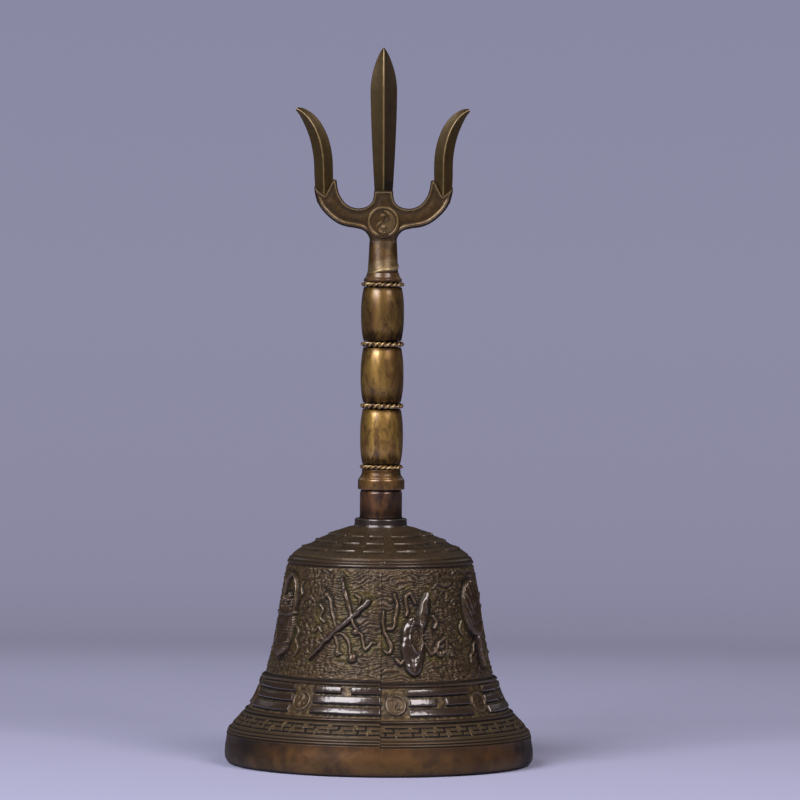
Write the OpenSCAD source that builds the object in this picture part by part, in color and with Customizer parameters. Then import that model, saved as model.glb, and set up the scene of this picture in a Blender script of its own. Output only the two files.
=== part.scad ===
// Ritual handbell: a cast brass bell with a trident handle.
// The handle is a stack of turned and cast pieces drawn together by one
// threaded rod. The clapper hangs under the crown from a swivelling stirrup.
// Frame: +Z up, origin at the centre of the circle the rim stands on.
// The trident lies in the XZ plane. -Y is the front.

/* [Bell] */
// Diameter across the rim
rim_d = 95.2; // [93:0.2:97]
// Height of the flat crown that the handle stands on
crown_z = 72.4; // [71.8:0.1:73]
// Height that a trigram bar stands off the skirt
bar_h = 0.55; // [0.3:0.05:0.8]
// Height that a trigram bar stands off the dome
dome_bar_h = 0.4; // [0.2:0.05:0.6]
// Angle that one trigram covers
trigram_deg = 33; // [28:1:35]
// Gap in the middle of a broken line
break_deg = 5; // [3:0.5:7]
// Radius of the roundels between the trigrams
roundel_r = 3.3; // [2.8:0.1:3.6]

/* [Handle] */
// Diameter of the flange that sits on the crown
flange_d = 16.2; // [15:0.1:17]
// Diameter of the sleeve over the flange
sleeve_d = 13; // [12:0.1:13.6]
// Diameter of the chamfered cap over the sleeve
cap_d = 14.4; // [13.8:0.1:15]
// Diameter of a grip barrel at its belly
belly_d = 13.2; // [12.6:0.1:13.6]
// Diameter of a grip barrel at its ends
barrel_end_d = 11.6; // [10.8:0.1:12]
// Outside diameter of the rope rings
ring_d = 13.2; // [13:0.1:13.6]
// Thickness of the two middle rope rings
ring_wire = 2.0; // [1.8:0.1:2.0]
// Thickness of the top and bottom rope rings
ring_wire_thin = 1.6; // [1.4:0.1:1.6]

/* [Trident] */
// Height of the tip of the middle blade over the rim
tip_z = 220.4; // [219:0.1:222]
// Thickness of the yoke, front to back
yoke_t = 5.2; // [4.6:0.1:6]
// Thickness of the blades on their ridges
blade_t = 4.6; // [4:0.1:5.2]
// Radius of the boss in the middle of the yoke
boss_r = 5.1; // [4.6:0.1:5.4]

/* [Clapper] */
// Height of the bar that the clapper hangs on
pivot_z = 52.6; // [52:0.1:53]
// Height of the centre of the bob
bob_z = 13; // [12.5:0.1:14]
// Radius of the bob
bob_r = 8; // [7:0.1:8]
// Radius of the clapper's rod
rod_r = 1.2; // [1:0.05:1.3]

/* [Fasteners] */
// Radius of the threaded tie rod
tie_r = 2.5; // [2:0.05:2.5]
// Clearance round the tie rod in the stacked pieces
tie_gap = 0.15; // [0.1:0.05:0.3]
// Radius of the stirrup's shank
shank_r = 1.25; // [1:0.05:1.4]
// Running clearance round the shank
shank_gap = 0.05; // [0.02:0.01:0.1]

/* [Hidden] */
$fn = 96;

k = rim_d / 95.2;              // the skirt's radii follow the rim
bronze = [0.30, 0.22, 0.12];
gilt = [0.55, 0.40, 0.14];
copper = [0.40, 0.22, 0.12];
steel = [0.62, 0.62, 0.60];

// heights of the stack, from the crown up
flange_z = crown_z + 3.2;      // top of the flange
sleeve_z = flange_z + 8.8;     // top of the sleeve
cap_z = sleeve_z + 6.2;        // top of the cap
lower_z = cap_z + ring_wire_thin;   // foot of the lower barrel
barrel_len = 17;
ring2_z = lower_z + barrel_len;     // foot of the lower middle ring
middle_z = ring2_z + ring_wire;
ring3_z = middle_z + barrel_len;
upper_z = ring3_z + ring_wire;
ring4_z = upper_z + barrel_len - 0.4;
collar_z = ring4_z + ring_wire_thin;
neck_z = collar_z + 2.8;

// the skirt's outside, from the rim up
outside = [[46.2, 0], [46.9, 0.7], [47.4, 1.6], [47.6, 3], [47.5, 4.8],
    [47.2, 6.6], [47, 8.2], [46.9, 9], [46.65, 10], [46.2, 10.7],
    [45.3, 11.6], [43.7, 13.4], [42, 15.3], [41.5, 15.9], [41.2, 16.5],
    [40.5, 17], [39.7, 18], [38.3, 20.2], [36.9, 23.6], [36.2, 26.3], [36.3, 26.9], [35.6, 27.5],
    [34.9, 27.9], [33.4, 33.6], [32.1, 40.2], [31.1, 46.4], [30.4, 51],
    [29.7, 55.4], [29, 59], [28.4, 61.6], [28.7, 62], [28.6, 62.9],
    [27.9, 63.5], [26.9, 64.4], [24.3, 66], [20.6, 68.2], [16.9, 70],
    [13.5, 71.4], [9.8, crown_z], [0, crown_z]];
// the inside, from the rim up
inside = [[41.4, 0], [42.1, 1], [42.2, 3], [41.6, 7.6], [40.1, 10.4],
    [37.4, 14.8], [34.7, 20], [32.6, 26], [30.1, 34], [28.2, 44],
    [26.6, 54], [25.4, 60], [22.4, 64.2], [17, 67.2], [9.4, 69], [0, 69]];

// eight trigrams, bottom line first, 1 whole and 0 broken
trigrams = [[1, 1, 1], [1, 1, 0], [1, 0, 1], [1, 0, 0],
    [0, 1, 1], [0, 1, 0], [0, 0, 1], [0, 0, 0]];
// the same eight in the order they stand on the dome
dome_order = [0, 7, 1, 6, 2, 5, 3, 4];
// middle height and skirt radius of each line, bottom line first
lines = [[19.1, 39.0], [22.2, 37.47], [25.1, 36.5]];
// middle radius and height of each line on the dome, inner line first
dome_lines = [[14.9, 70.82], [19, 68.98], [23.1, 66.71]];
// angle of the first trigram's middle, measured from +X; the front is 270
first_deg = 209.5;

module at_deg(a) rotate([0, 0, a]) children();

// a bar on a cone: half its height along the slope, its middle, its slope
module cone_bar(mid, slope, half, high, from, to) {
    at_deg(from) rotate_extrude(angle = to - from)
        translate(mid) rotate(slope)
            translate([-0.45, -half]) square([0.45 + high, 2 * half]);
}

// one line of a trigram, whole or in two parts
module line_bars(whole, mid, slope, half, high, centre, span, gap) {
    if (whole == 1)
        cone_bar(mid, slope, half, high, centre - span / 2, centre + span / 2);
    else {
        cone_bar(mid, slope, half, high, centre - span / 2, centre - gap / 2);
        cone_bar(mid, slope, half, high, centre + gap / 2, centre + span / 2);
    }
}

module skirt_trigrams() {
    for (i = [0:7], j = [0:2])
        line_bars(trigrams[i][j], [lines[j][1] * k, lines[j][0]],
            [32.5, 22.4, 15.2][j], 0.88, bar_h, first_deg + 45 * (i - 1) + 45,
            trigram_deg, break_deg);
}

module dome_trigrams() {
    for (i = [0:7], j = [0:2])
        line_bars(trigrams[dome_order[i]][j], dome_lines[j],
            [67.6, 64, 59.3][j], 1.25, dome_bar_h,
            first_deg + 45 * i, 37, 6);
}

module roundels() {
    for (i = [0:7])
        at_deg(first_deg + 22.5 + 45 * i)
            translate([37.95 * k, 0, 21.3]) rotate([0, 90 - 22.5, 0]) {
                translate([0, 0, -1]) cylinder(r = roundel_r, h = 1.35);
            }
}

module bell_shell() color(bronze) difference() {
    union() {
        rotate_extrude() polygon(concat(
            [for (p = outside) [p[0] * k, p[1]]],
            [for (i = [len(inside) - 1:-1:0]) [inside[i][0] * k, inside[i][1]]]));
        skirt_trigrams();
        dome_trigrams();
        roundels();
    }
    translate([0, 0, 60]) cylinder(r = tie_r + tie_gap, h = 20);
}

// a turned piece with a bore for the tie rod
module turned(points, from, to) difference() {
    rotate_extrude() polygon(points);
    translate([0, 0, from - 1]) cylinder(r = tie_r + tie_gap, h = to - from + 2);
}

module crown_flange() color(bronze)
    turned([[0, crown_z], [flange_d / 2 + 0.3, crown_z],
        [flange_d / 2 + 0.3, crown_z + 0.7], [flange_d / 2, crown_z + 1.1],
        [flange_d / 2 - 0.1, flange_z - 0.3], [flange_d / 2 - 0.4, flange_z],
        [0, flange_z]], crown_z, flange_z);

module handle_sleeve() color(copper)
    turned([[0, flange_z], [sleeve_d / 2 + 0.15, flange_z],
        [sleeve_d / 2, flange_z + 0.9], [sleeve_d / 2, sleeve_z - 0.9],
        [sleeve_d / 2 - 0.25, sleeve_z - 0.5], [sleeve_d / 2 - 0.25, sleeve_z],
        [0, sleeve_z]], flange_z, sleeve_z);

module ferrule_cap() color(gilt)
    turned([[0, sleeve_z], [cap_d / 2 - 0.2, sleeve_z],
        [cap_d / 2, sleeve_z + 0.25], [cap_d / 2, sleeve_z + 3],
        [cap_d / 2 - 0.3, sleeve_z + 3.35], [cap_d / 2 - 1.1, sleeve_z + 4.6],
        [cap_d / 2 - 1.25, sleeve_z + 5.3], [cap_d / 2 - 1.25, cap_z],
        [0, cap_z]], sleeve_z, cap_z);

// a barrel with the spigot below it that centres the rope ring
module barrel(foot, long, spigot, spigot_r) {
    belly = belly_d / 2;
    sag = (belly_d - barrel_end_d) / 2;
    big = (long * long / 4 + sag * sag) / (2 * sag);
    difference() {
        union() {
            rotate_extrude() intersection() {
                translate([belly - big, foot + long / 2]) circle(r = big, $fn = 180);
                translate([0, foot]) square([belly + 1, long]);
            }
            translate([0, 0, foot - spigot]) cylinder(r = spigot_r, h = spigot + 1);
        }
        translate([0, 0, foot - spigot - 1])
            cylinder(r = tie_r + tie_gap, h = long + spigot + 2);
    }
}

module grip_barrel_lower() color(gilt)
    barrel(lower_z, barrel_len, ring_wire_thin, ring_d / 2 - ring_wire_thin - 0.05);
module grip_barrel_middle() color(gilt)
    barrel(middle_z, barrel_len, ring_wire, ring_d / 2 - ring_wire - 0.05);
module grip_barrel_upper() color(gilt)
    barrel(upper_z, barrel_len - 0.4, ring_wire, ring_d / 2 - ring_wire - 0.05);

// a rope ring lying in the groove that starts at height z
module rope_ring(z, wire) color(gilt)
    translate([0, 0, z + wire / 2]) rotate_extrude()
        translate([ring_d / 2 - wire / 2, 0]) circle(r = wire / 2, $fn = 48);

module rope_ring_bottom() rope_ring(cap_z, ring_wire_thin);
module rope_ring_lower() rope_ring(ring2_z, ring_wire);
module rope_ring_upper() rope_ring(ring3_z, ring_wire);
module rope_ring_top() rope_ring(ring4_z, ring_wire_thin);

module neck_collar() color(gilt)
    turned([[0, ring4_z], [ring_d / 2 - ring_wire_thin - 0.05, ring4_z],
        [ring_d / 2 - ring_wire_thin - 0.05, collar_z], [5.85, collar_z],
        [5.85, collar_z + 0.9], [5.4, collar_z + 1.3], [5.2, collar_z + 1.7],
        [4.85, neck_z], [0, neck_z]], ring4_z, neck_z);

// stations along the middle blade: share of its length, half width, half thickness
blade = [[0, 2.7, 0.95], [0.16, 3.15, 1], [0.33, 3.55, 1], [0.5, 3.88, 1],
    [0.66, 4.07, 1], [0.74, 4.03, 0.98], [0.81, 3.63, 0.92],
    [0.875, 2.87, 0.8], [0.93, 1.97, 0.62], [0.975, 0.95, 0.36], [1, 0.12, 0.08]];
// stations along a side prong: x, z, half width, half thickness
prong = [[18.3, 175, 2.6, 0.9], [18.4, 180, 2.85, 0.95], [18.55, 186, 2.9, 0.95],
    [19.15, 190, 2.85, 0.92], [20.05, 193.2, 2.7, 0.88], [21.3, 196, 2.45, 0.8],
    [22.85, 198.4, 2.05, 0.68], [24.7, 200.3, 1.35, 0.48], [26.7, 201.5, 0.15, 0.08]];

// a rhombus ring across a path point: centre, direction across, half width, half thickness
function rhomb(x, z, across, w, t) = [
    [x - across[0] * w, 0, z - across[1] * w], [x, -t, z],
    [x + across[0] * w, 0, z + across[1] * w], [x, t, z]];
function unit(v) = v / norm(v);
// the direction across the prong at station i
function across(i) = let(a = prong[max(i - 1, 0)],
    b = prong[min(i + 1, len(prong) - 1)], d = unit([b[0] - a[0], b[1] - a[1]]))
    [d[1], -d[0]];

// skins a stack of four-point rings and closes both ends
module skin(rings) {
    n = len(rings);
    polyhedron([for (r = rings, p = r) p], concat([[0, 1, 2, 3]],
        [for (i = [0:n - 2], j = [0:3]) let(m = (j + 1) % 4)
            [4 * i + j, 4 * (i + 1) + j, 4 * (i + 1) + m, 4 * i + m]],
        [[for (j = [3:-1:0]) 4 * (n - 1) + j]]));
}

module middle_blade() {
    foot = 174.6;
    skin([for (s = blade) rhomb(0, foot + s[0] * (tip_z - foot), [1, 0],
        s[1], s[2] * blade_t / 2)]);
}

module side_prong() {
    skin([for (i = [0:len(prong) - 1]) rhomb(prong[i][0], prong[i][1], across(i),
        prong[i][2], prong[i][3] * blade_t / 2)]);
}

// the yoke's right half: up the outside of the arm, over the crowned socket,
// down the inside of the arm to the root of the middle blade
half_yoke = [[0, 160], [4.2, 160.4], [4.45, 162.2], [5, 163.4], [6.3, 164.4],
    [8.8, 165], [11.4, 165.4], [13.9, 166.3], [16.5, 168.1], [19, 170.7],
    [20.4, 173.2], [21.1, 175.8], [21.2, 178], [20.2, 176.6], [18, 174.7],
    [16.3, 177.8], [15.4, 180], [14.6, 179.6], [14.2, 176.9], [13.4, 174.5],
    [11.4, 172], [8.3, 170.8], [5.2, 171.3], [3.5, 172.7], [2.9, 174.6],
    [2.8, 176.4], [0, 176.4]];

module yoke() rotate([90, 0, 0]) translate([0, 0, -yoke_t / 2])
    linear_extrude(yoke_t) polygon(concat(half_yoke,
        [for (i = [len(half_yoke) - 2:-1:1]) [-half_yoke[i][0], half_yoke[i][1]]]));

module trident_head() color(bronze) difference() {
    union() {
        translate([0, 0, neck_z]) cylinder(r1 = 4.65, r2 = 4.15, h = 162.4 - neck_z);
        yoke();
        translate([0, 0, 166.8]) rotate([90, 0, 0])
            cylinder(r = boss_r, h = yoke_t + 1, center = true);
        middle_blade();
        side_prong();
        mirror([1, 0, 0]) side_prong();
    }
    translate([0, 0, neck_z - 1]) cylinder(r = tie_r + 0.02, h = 7.4);
}

module tie_rod() color(steel) {
    translate([0, 0, 64.6]) cylinder(r = tie_r, h = neck_z + 5.4 - 64.6);
    translate([0, 0, 64.2]) cylinder(r1 = tie_r - 0.4, r2 = tie_r, h = 0.4);
    translate([0, 0, neck_z + 5.4]) cylinder(r1 = tie_r, r2 = tie_r - 0.4, h = 0.4);
}

module crown_washer() color(steel) difference() {
    translate([0, 0, 68]) cylinder(r = 6.8, h = 1);
    translate([0, 0, 67]) cylinder(r = tie_r + 0.2, h = 3);
}

// a deep hexagon nut: it clamps the crown, and its floor carries the stirrup
module hanger_nut() color(gilt) difference() {
    translate([0, 0, 60.5]) cylinder(r = 5.2, h = 7.5, $fn = 6);
    translate([0, 0, 62.1]) cylinder(r = tie_r + 0.02, h = 8);
    translate([0, 0, 59]) cylinder(r = shank_r + shank_gap, h = 6);
}

module clapper_stirrup() color(steel) {
    wire = 1.1;
    leg = 3.9;
    top = pivot_z + 5.8;
    translate([0, 0, 62.15]) cylinder(r = 2.1, h = 1.5);
    translate([0, 0, top]) cylinder(r = shank_r, h = 62.65 - top);
    for (z = [pivot_z, top])
        translate([0, 0, z]) rotate([90, 0, 0]) cylinder(r = wire, h = 2 * leg, center = true);
    for (y = [-leg, leg]) {
        translate([0, y, pivot_z]) cylinder(r = wire, h = top - pivot_z);
        for (z = [pivot_z, top]) translate([0, y, z]) sphere(r = wire, $fn = 48);
    }
}

module clapper_rod() color(gilt) {
    eye_z = pivot_z - 0.55;
    translate([0, 0, eye_z]) rotate([90, 0, 0]) rotate_extrude()
        translate([2.6, 0]) circle(r = 0.9, $fn = 48);
    translate([0, 0, 3]) cylinder(r = rod_r, h = eye_z - 2.6 - 3);
}

module clapper_bob() color(gilt) difference() {
    union() {
        translate([0, 0, bob_z]) sphere(r = bob_r);
        translate([0, 0, bob_z + 4.5]) cylinder(r1 = sqrt(bob_r * bob_r - 4.5 * 4.5),
            r2 = 2.2, h = 7.5);
    }
    translate([0, 0, -1]) cylinder(r = rod_r + 0.03, h = 40);
    translate([0, 0, bob_z - bob_r - 1]) cylinder(r = 9, h = 1.4);
}

module bob_nut() color(steel) difference() {
    translate([0, 0, bob_z - bob_r - 1.6]) cylinder(r = 2.6, h = 2, $fn = 6);
    translate([0, 0, -1]) cylinder(r = rod_r + 0.02, h = 10);
}

bell_shell();
crown_flange();
handle_sleeve();
ferrule_cap();
rope_ring_bottom();
grip_barrel_lower();
rope_ring_lower();
grip_barrel_middle();
rope_ring_upper();
grip_barrel_upper();
rope_ring_top();
neck_collar();
trident_head();
tie_rod();
crown_washer();
hanger_nut();
clapper_stirrup();
clapper_rod();
clapper_bob();
bob_nut();
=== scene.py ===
import math

import bpy
import numpy as np
from mathutils import Euler, Matrix, Vector
from mathutils.geometry import delaunay_2d_cdt
from mathutils.kdtree import KDTree


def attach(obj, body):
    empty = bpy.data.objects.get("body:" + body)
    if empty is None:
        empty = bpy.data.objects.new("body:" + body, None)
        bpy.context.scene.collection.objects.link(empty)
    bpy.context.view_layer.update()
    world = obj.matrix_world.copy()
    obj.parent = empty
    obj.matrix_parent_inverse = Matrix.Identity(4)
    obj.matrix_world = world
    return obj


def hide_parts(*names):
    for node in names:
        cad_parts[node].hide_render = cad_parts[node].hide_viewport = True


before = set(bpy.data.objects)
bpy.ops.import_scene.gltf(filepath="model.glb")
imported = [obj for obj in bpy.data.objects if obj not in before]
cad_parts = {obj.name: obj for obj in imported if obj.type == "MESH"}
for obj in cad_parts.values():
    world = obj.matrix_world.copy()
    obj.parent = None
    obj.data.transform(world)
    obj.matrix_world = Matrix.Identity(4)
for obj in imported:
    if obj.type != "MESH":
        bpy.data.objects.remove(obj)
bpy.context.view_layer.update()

MM = 0.001
TAU = 2 * math.pi

# ------------------------------------------------------------------ camera

cam_data = bpy.data.cameras.new("camera")
cam_data.sensor_width = 36.0
cam_data.lens = 239.6
cam_data.clip_start = 0.05
cam_data.clip_end = 50.0
cam = bpy.data.objects.new("camera", cam_data)
bpy.context.scene.collection.objects.link(cam)
cam.location = (0.0056, -1.640, 0.163)
cam.rotation_euler = (Euler((math.radians(90 - 1.78), 0, 0)).to_matrix()
                      @ Matrix.Rotation(math.radians(0.50), 3, "Z")).to_euler()
bpy.context.scene.camera = cam

# ------------------------------------------------------------------ numbers

# the skirt's outside and the inside, from the rim up, in millimetres: radius, height
OUTSIDE = [(46.2, 0), (46.9, 0.7), (47.4, 1.6), (47.6, 3), (47.5, 4.8),
           (47.2, 6.6), (47, 8.2), (46.9, 9), (46.65, 10), (46.2, 10.7),
           (45.3, 11.6), (43.7, 13.4), (42, 15.3), (41.5, 15.9), (41.2, 16.5),
           (40.5, 17), (39.7, 18), (38.3, 20.2), (36.9, 23.6), (36.2, 26.3), (36.3, 26.9), (35.6, 27.5),
           (34.9, 27.9), (33.4, 33.6), (32.1, 40.2), (31.1, 46.4), (30.4, 51),
           (29.7, 55.4), (29, 59), (28.4, 61.6), (28.7, 62), (28.6, 62.9),
           (27.9, 63.5), (26.9, 64.4), (24.3, 66), (20.6, 68.2), (16.9, 70),
           (13.5, 71.4), (9.8, 72.4)]
INSIDE = [(41.4, 0), (42.1, 1), (42.2, 3), (41.6, 7.6), (40.1, 10.4),
          (37.4, 14.8), (34.7, 20), (32.6, 26), (30.1, 34), (28.2, 44),
          (26.6, 54), (25.4, 60), (22.4, 64.2), (17, 67.2), (9.4, 69)]
BORE = 2.65
# eight trigrams, bottom line first, 1 whole and 0 broken
TRIGRAMS = [(1, 1, 1), (1, 1, 0), (1, 0, 1), (1, 0, 0), (0, 1, 1), (0, 1, 0), (0, 0, 1), (0, 0, 0)]
DOME_ORDER = [0, 7, 1, 6, 2, 5, 3, 4]
LINES_Z = (19.0, 22.0, 24.95)
LINES_HALF = (0.98, 1.02, 0.94)
DOME_R = (14.9, 19.0, 23.1)
DOME_HALF = (1.17, 1.13, 1.10)
FIRST = 209.5
SEAM = (0.7, 180.4)      # where the mould's halves meet, from the front to the right


def place(i, extra=0.0):
    """The angle of trigram i's middle: the right half of the casting is turned a little."""
    c = FIRST + 45 * i + extra
    return c + (0.8 if SEAM[0] < (c - 270) % 360 < SEAM[1] else 0.0)


# ------------------------------------------------------------------ fields

def smooth(x, lo, hi):
    t = np.clip((x - lo) / (hi - lo), 0, 1)
    return t * t * (3 - 2 * t)


def noise(u, v, nu, seed):
    """Smooth noise about -1 to 1. u counts cells and wraps at nu, v counts cells."""
    rs = np.random.RandomState(seed)
    iv = np.floor(v).astype(int)
    low = iv.min()
    ang = rs.rand(iv.max() - low + 2, nu) * TAU
    gx, gy = np.cos(ang), np.sin(ang)
    iu = np.floor(u).astype(int)
    fu, fv = u - iu, v - iv
    iv = iv - low
    su = fu * fu * fu * (fu * (fu * 6 - 15) + 10)
    sv = fv * fv * fv * (fv * (fv * 6 - 15) + 10)

    def corner(a, b):
        i, j = (iu + a) % nu, iv + b
        return gx[j, i] * (fu - a) + gy[j, i] * (fv - b)
    top = corner(0, 1) * (1 - su) + corner(1, 1) * su
    low_ = corner(0, 0) * (1 - su) + corner(1, 0) * su
    return (low_ * (1 - sv) + top * sv) * 1.6


def fractal(th, s, around, cell, seed, octaves=3):
    """Layered noise on a surface: th in radians, s in mm, around is the girth in mm, cell the largest feature in mm."""
    total, gain = 0.0, 1.0
    for o in range(octaves):
        nu = max(3, int(round(around / cell)))
        total = total + gain * noise(th / TAU * nu, s / (around / nu), nu, seed + 17 * o)
        gain *= 0.5
        cell *= 0.5
    return total


def bump(x, centre, half):
    """A rounded bead of half width half, 1 at its middle."""
    t = np.clip(1 - ((x - centre) / half) ** 2, 0, 1)
    return np.sqrt(t) * t ** 0.25


def curve(points, steps=6, closed=False):
    """A smooth line through points."""
    p = [np.array(q, float) for q in points]
    n = len(p)
    if n < 3 and not closed:
        return np.array([p[0] + (p[-1] - p[0]) * t for t in np.linspace(0, 1, steps + 1)])
    out = []
    for i in range(n if closed else n - 1):
        a, b, c, d = ((p[(i + k) % n] for k in (-1, 0, 1, 2)) if closed
                      else (p[max(i - 1, 0)], p[i], p[i + 1], p[min(i + 2, n - 1)]))
        for t in np.arange(steps) / steps:
            out.append(0.5 * (2 * b + (c - a) * t + (2 * a - 5 * b + 4 * c - d) * t * t
                              + (3 * b - a - 3 * c + d) * t ** 3))
    if not closed:
        out.append(p[-1])
    return np.array(out)


def to_line(u, v, line, widths):
    """Distance to a polyline over its own half width there, and the distance in mm."""
    best = np.full(u.shape, 1e9)
    dist = np.full(u.shape, 1e9)
    for i in range(len(line) - 1):
        (ax, ay), (bx, by) = line[i], line[i + 1]
        dx, dy = bx - ax, by - ay
        long2 = dx * dx + dy * dy + 1e-12
        t = np.clip(((u - ax) * dx + (v - ay) * dy) / long2, 0, 1)
        d = np.hypot(u - ax - t * dx, v - ay - t * dy)
        w = widths[i] + (widths[i + 1] - widths[i]) * t
        x = d / w
        closer = x < best
        best = np.where(closer, x, best)
        dist = np.minimum(dist, d - w)
    return best, dist


class Relief:
    """Raised work drawn on a patch: u runs to the right and v up, in mm."""

    def __init__(self, u, v):
        self.u, self.v = u, v
        self.h = np.zeros(u.shape)
        self.gap = np.full(u.shape, 1e9)
        self.shine = np.zeros(u.shape)

    def add(self, h, dist, shine=0.4):
        over = h > self.h
        self.h = np.where(over, h, self.h)
        self.shine = np.where(over, shine, self.shine)
        self.gap = np.minimum(self.gap, dist)

    def stroke(self, points, widths, high, shine=0.35, steps=5, flat=0.0):
        line = curve(points, steps)
        if np.isscalar(widths):
            widths = [widths] * len(points)
        along = np.linspace(0, 1, len(line))
        w = np.interp(along, np.linspace(0, 1, len(widths)), widths)
        x, d = to_line(self.u, self.v, line, w)
        h = high * np.sqrt(np.clip(1 - np.clip(x, 0, 1) ** (2 + 2 * flat), 0, 1))
        self.add(np.where(x < 1, h, 0), d, shine)
        return x

    def blob(self, cx, cy, rx, ry, high, turn=0.0, shine=0.35, power=2.0):
        c, s = math.cos(math.radians(turn)), math.sin(math.radians(turn))
        a = (self.u - cx) * c + (self.v - cy) * s
        b = -(self.u - cx) * s + (self.v - cy) * c
        x = np.hypot(a / rx, b / ry)
        h = high * np.sqrt(np.clip(1 - np.clip(x, 0, 1) ** power, 0, 1))
        self.add(np.where(x < 1, h, 0), (x - 1) * min(rx, ry), shine)
        return a, b, x

    def leaf(self, foot, tip, half, high, belly=0.45, blunt=0.75, ridge=0.0, shine=0.8, power=2.0):
        """A long pointed shape from foot to tip. Returns where along it each point lies, and how far across."""
        (ax, ay), (bx, by) = foot, tip
        dx, dy = bx - ax, by - ay
        long = math.hypot(dx, dy)
        t = ((self.u - ax) * dx + (self.v - ay) * dy) / long ** 2
        side = ((self.u - ax) * -dy + (self.v - ay) * dx) / long
        q = np.clip(np.where(t < belly, 1 - t / belly, (t - belly) / (1 - belly)), 0, 1)
        w = half * np.clip(1 - q ** 2, 0, 1) ** blunt
        x = np.abs(side) / np.maximum(w, 1e-3)
        inside = (x < 1) & (t > 0) & (t < 1)
        h = high * (np.sqrt(np.clip(1 - np.clip(x, 0, 1) ** power, 0, 1)) * (1 - ridge)
                    + ridge * (1 - np.clip(x, 0, 1)))
        h = h * np.clip(w / (0.35 * half), 0, 1) ** 0.5
        d = np.where((t > 0) & (t < 1), np.abs(side) - w,
                     np.minimum(np.hypot(self.u - ax, self.v - ay), np.hypot(self.u - bx, self.v - by)))
        self.add(np.where(inside, h, 0), d, shine)
        return t, side, x, inside


def ribbons(r, lines, width=0.50, high=0.62):
    for line in lines:
        r.stroke(line, [width * 0.9, width, width * 1.05, width * 0.7], high, 0.35)


def emblem_sword_and_whisk(r):
    r.stroke([(-9.5, 33.8), (-2.9, 41.2), (2.8, 46.2), (8.8, 51.8)], [0.42, 0.75, 0.95, 1.05], 1.35, 0.8)
    r.stroke([(-0.2, 58.6), (0.7, 55.3), (1.5, 53), (2.8, 49.2), (3.6, 46.9), (4.3, 44.7), (5.8, 43.1)],
             [0.7, 0.95, 0.95, 0.85, 0.8, 0.7, 0.5], 1.35, 0.6)
    r.blob(-0.1, 57.9, 0.95, 1.25, 1.75, 12, 1.0)
    r.blob(0.75, 55.4, 0.95, 1.1, 1.65, 12, 1.0)
    ribbons(r, [[(-5.8, 53.4), (-4.3, 51.9), (-3.6, 49.1), (-1.9, 44.9), (-1.2, 43)],
                [(-2, 41), (0.1, 41.9), (2.3, 40.4), (3.3, 38.5), (3.7, 36.2), (4.6, 34.3)],
                [(-1.5, 40.7), (-0.5, 38), (-0.3, 36.1), (1, 35.8)],
                [(5.2, 42.4), (7, 41.6), (7.4, 39.7), (8.3, 37.4), (10.1, 39.4), (11.4, 39.2)],
                [(-7.9, 50.4), (-6.8, 48.6), (-7.4, 46.6), (-5.9, 45.2)],
                [(-9.2, 42.4), (-7.8, 43.8), (-6.4, 42.3)],
                [(4.6, 53.6), (6, 52.6), (5.6, 50.8)]])
    r.blob(4.4, 34.6, 1.15, 1.5, 1.2, -20, 0.5)
    r.blob(5.2, 42.5, 1.25, 1.15, 1.15, 0, 0.4)
    r.blob(-0.4, 36, 0.9, 1.1, 1.05, 10, 0.4)
    r.blob(-5.8, 53.4, 0.9, 0.8, 1.0, 0, 0.3)


def emblem_castanets(r):
    t, side, x, inside = r.leaf((4.9, 55.2), (1.3, 41.5), 2.15, 1.35, 0.5, 0.7, 0.45, 0.85)
    a = np.where(inside, 0.28 * bump(x, 0.72, 0.2), 0)
    r.h = r.h - a * (r.h > 0)
    t, side, x, inside = r.leaf((-0.9, 47.3), (-1.2, 29.4), 3.75, 1.85, 0.46, 0.5, 0.2, 1.0, 2.6)
    a, b = r.u - 0.1, r.v - 41.2
    q = np.hypot(a / 1.9, b / 4.3)
    pit = (q < 1) & inside
    grain = 0.16 * np.sin(9.5 * np.hypot(a, b * 0.55) + 0.6 * np.sin(2.1 * b))
    r.h = np.where(pit, r.h - 0.62 * np.sqrt(np.clip(1 - q ** 3, 0, 1)) + grain * smooth(1 - q, 0, 0.3), r.h)
    r.shine = np.where(pit, 0.2, r.shine)
    r.h = r.h + 0.2 * bump(q, 1.1, 0.13) * inside
    ribbons(r, [[(-2.9, 47.6), (-2.4, 49.2), (-3, 51.6), (-2.6, 53.7), (-1.3, 54.4), (-0.4, 52.9), (0.4, 51.2)],
                [(-6.4, 53.9), (-5.8, 50.8), (-6.4, 47), (-7, 43.9), (-8.6, 43.6)],
                [(-10.1, 48.6), (-10.2, 45.5), (-9.9, 43.2), (-8.7, 40.5), (-7.7, 38.2), (-8.6, 36.5), (-9.9, 37.1)],
                [(3, 39.4), (4, 37.2), (4.9, 36), (6.6, 37.1), (7.7, 39), (10, 40.9)],
                [(6.2, 37.7), (7.7, 35.5), (9.4, 36.7)],
                [(6.2, 47.4), (7.4, 45.6), (6.7, 43.6)],
                [(-6.2, 34.6), (-5.2, 33.4), (-4.4, 34.2)]], 0.6, 0.95)
    r.blob(-8.4, 43.7, 1.0, 0.8, 1.05, 0, 0.4)
    r.blob(7.9, 36, 0.9, 0.9, 1.0, 0, 0.4)


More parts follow.
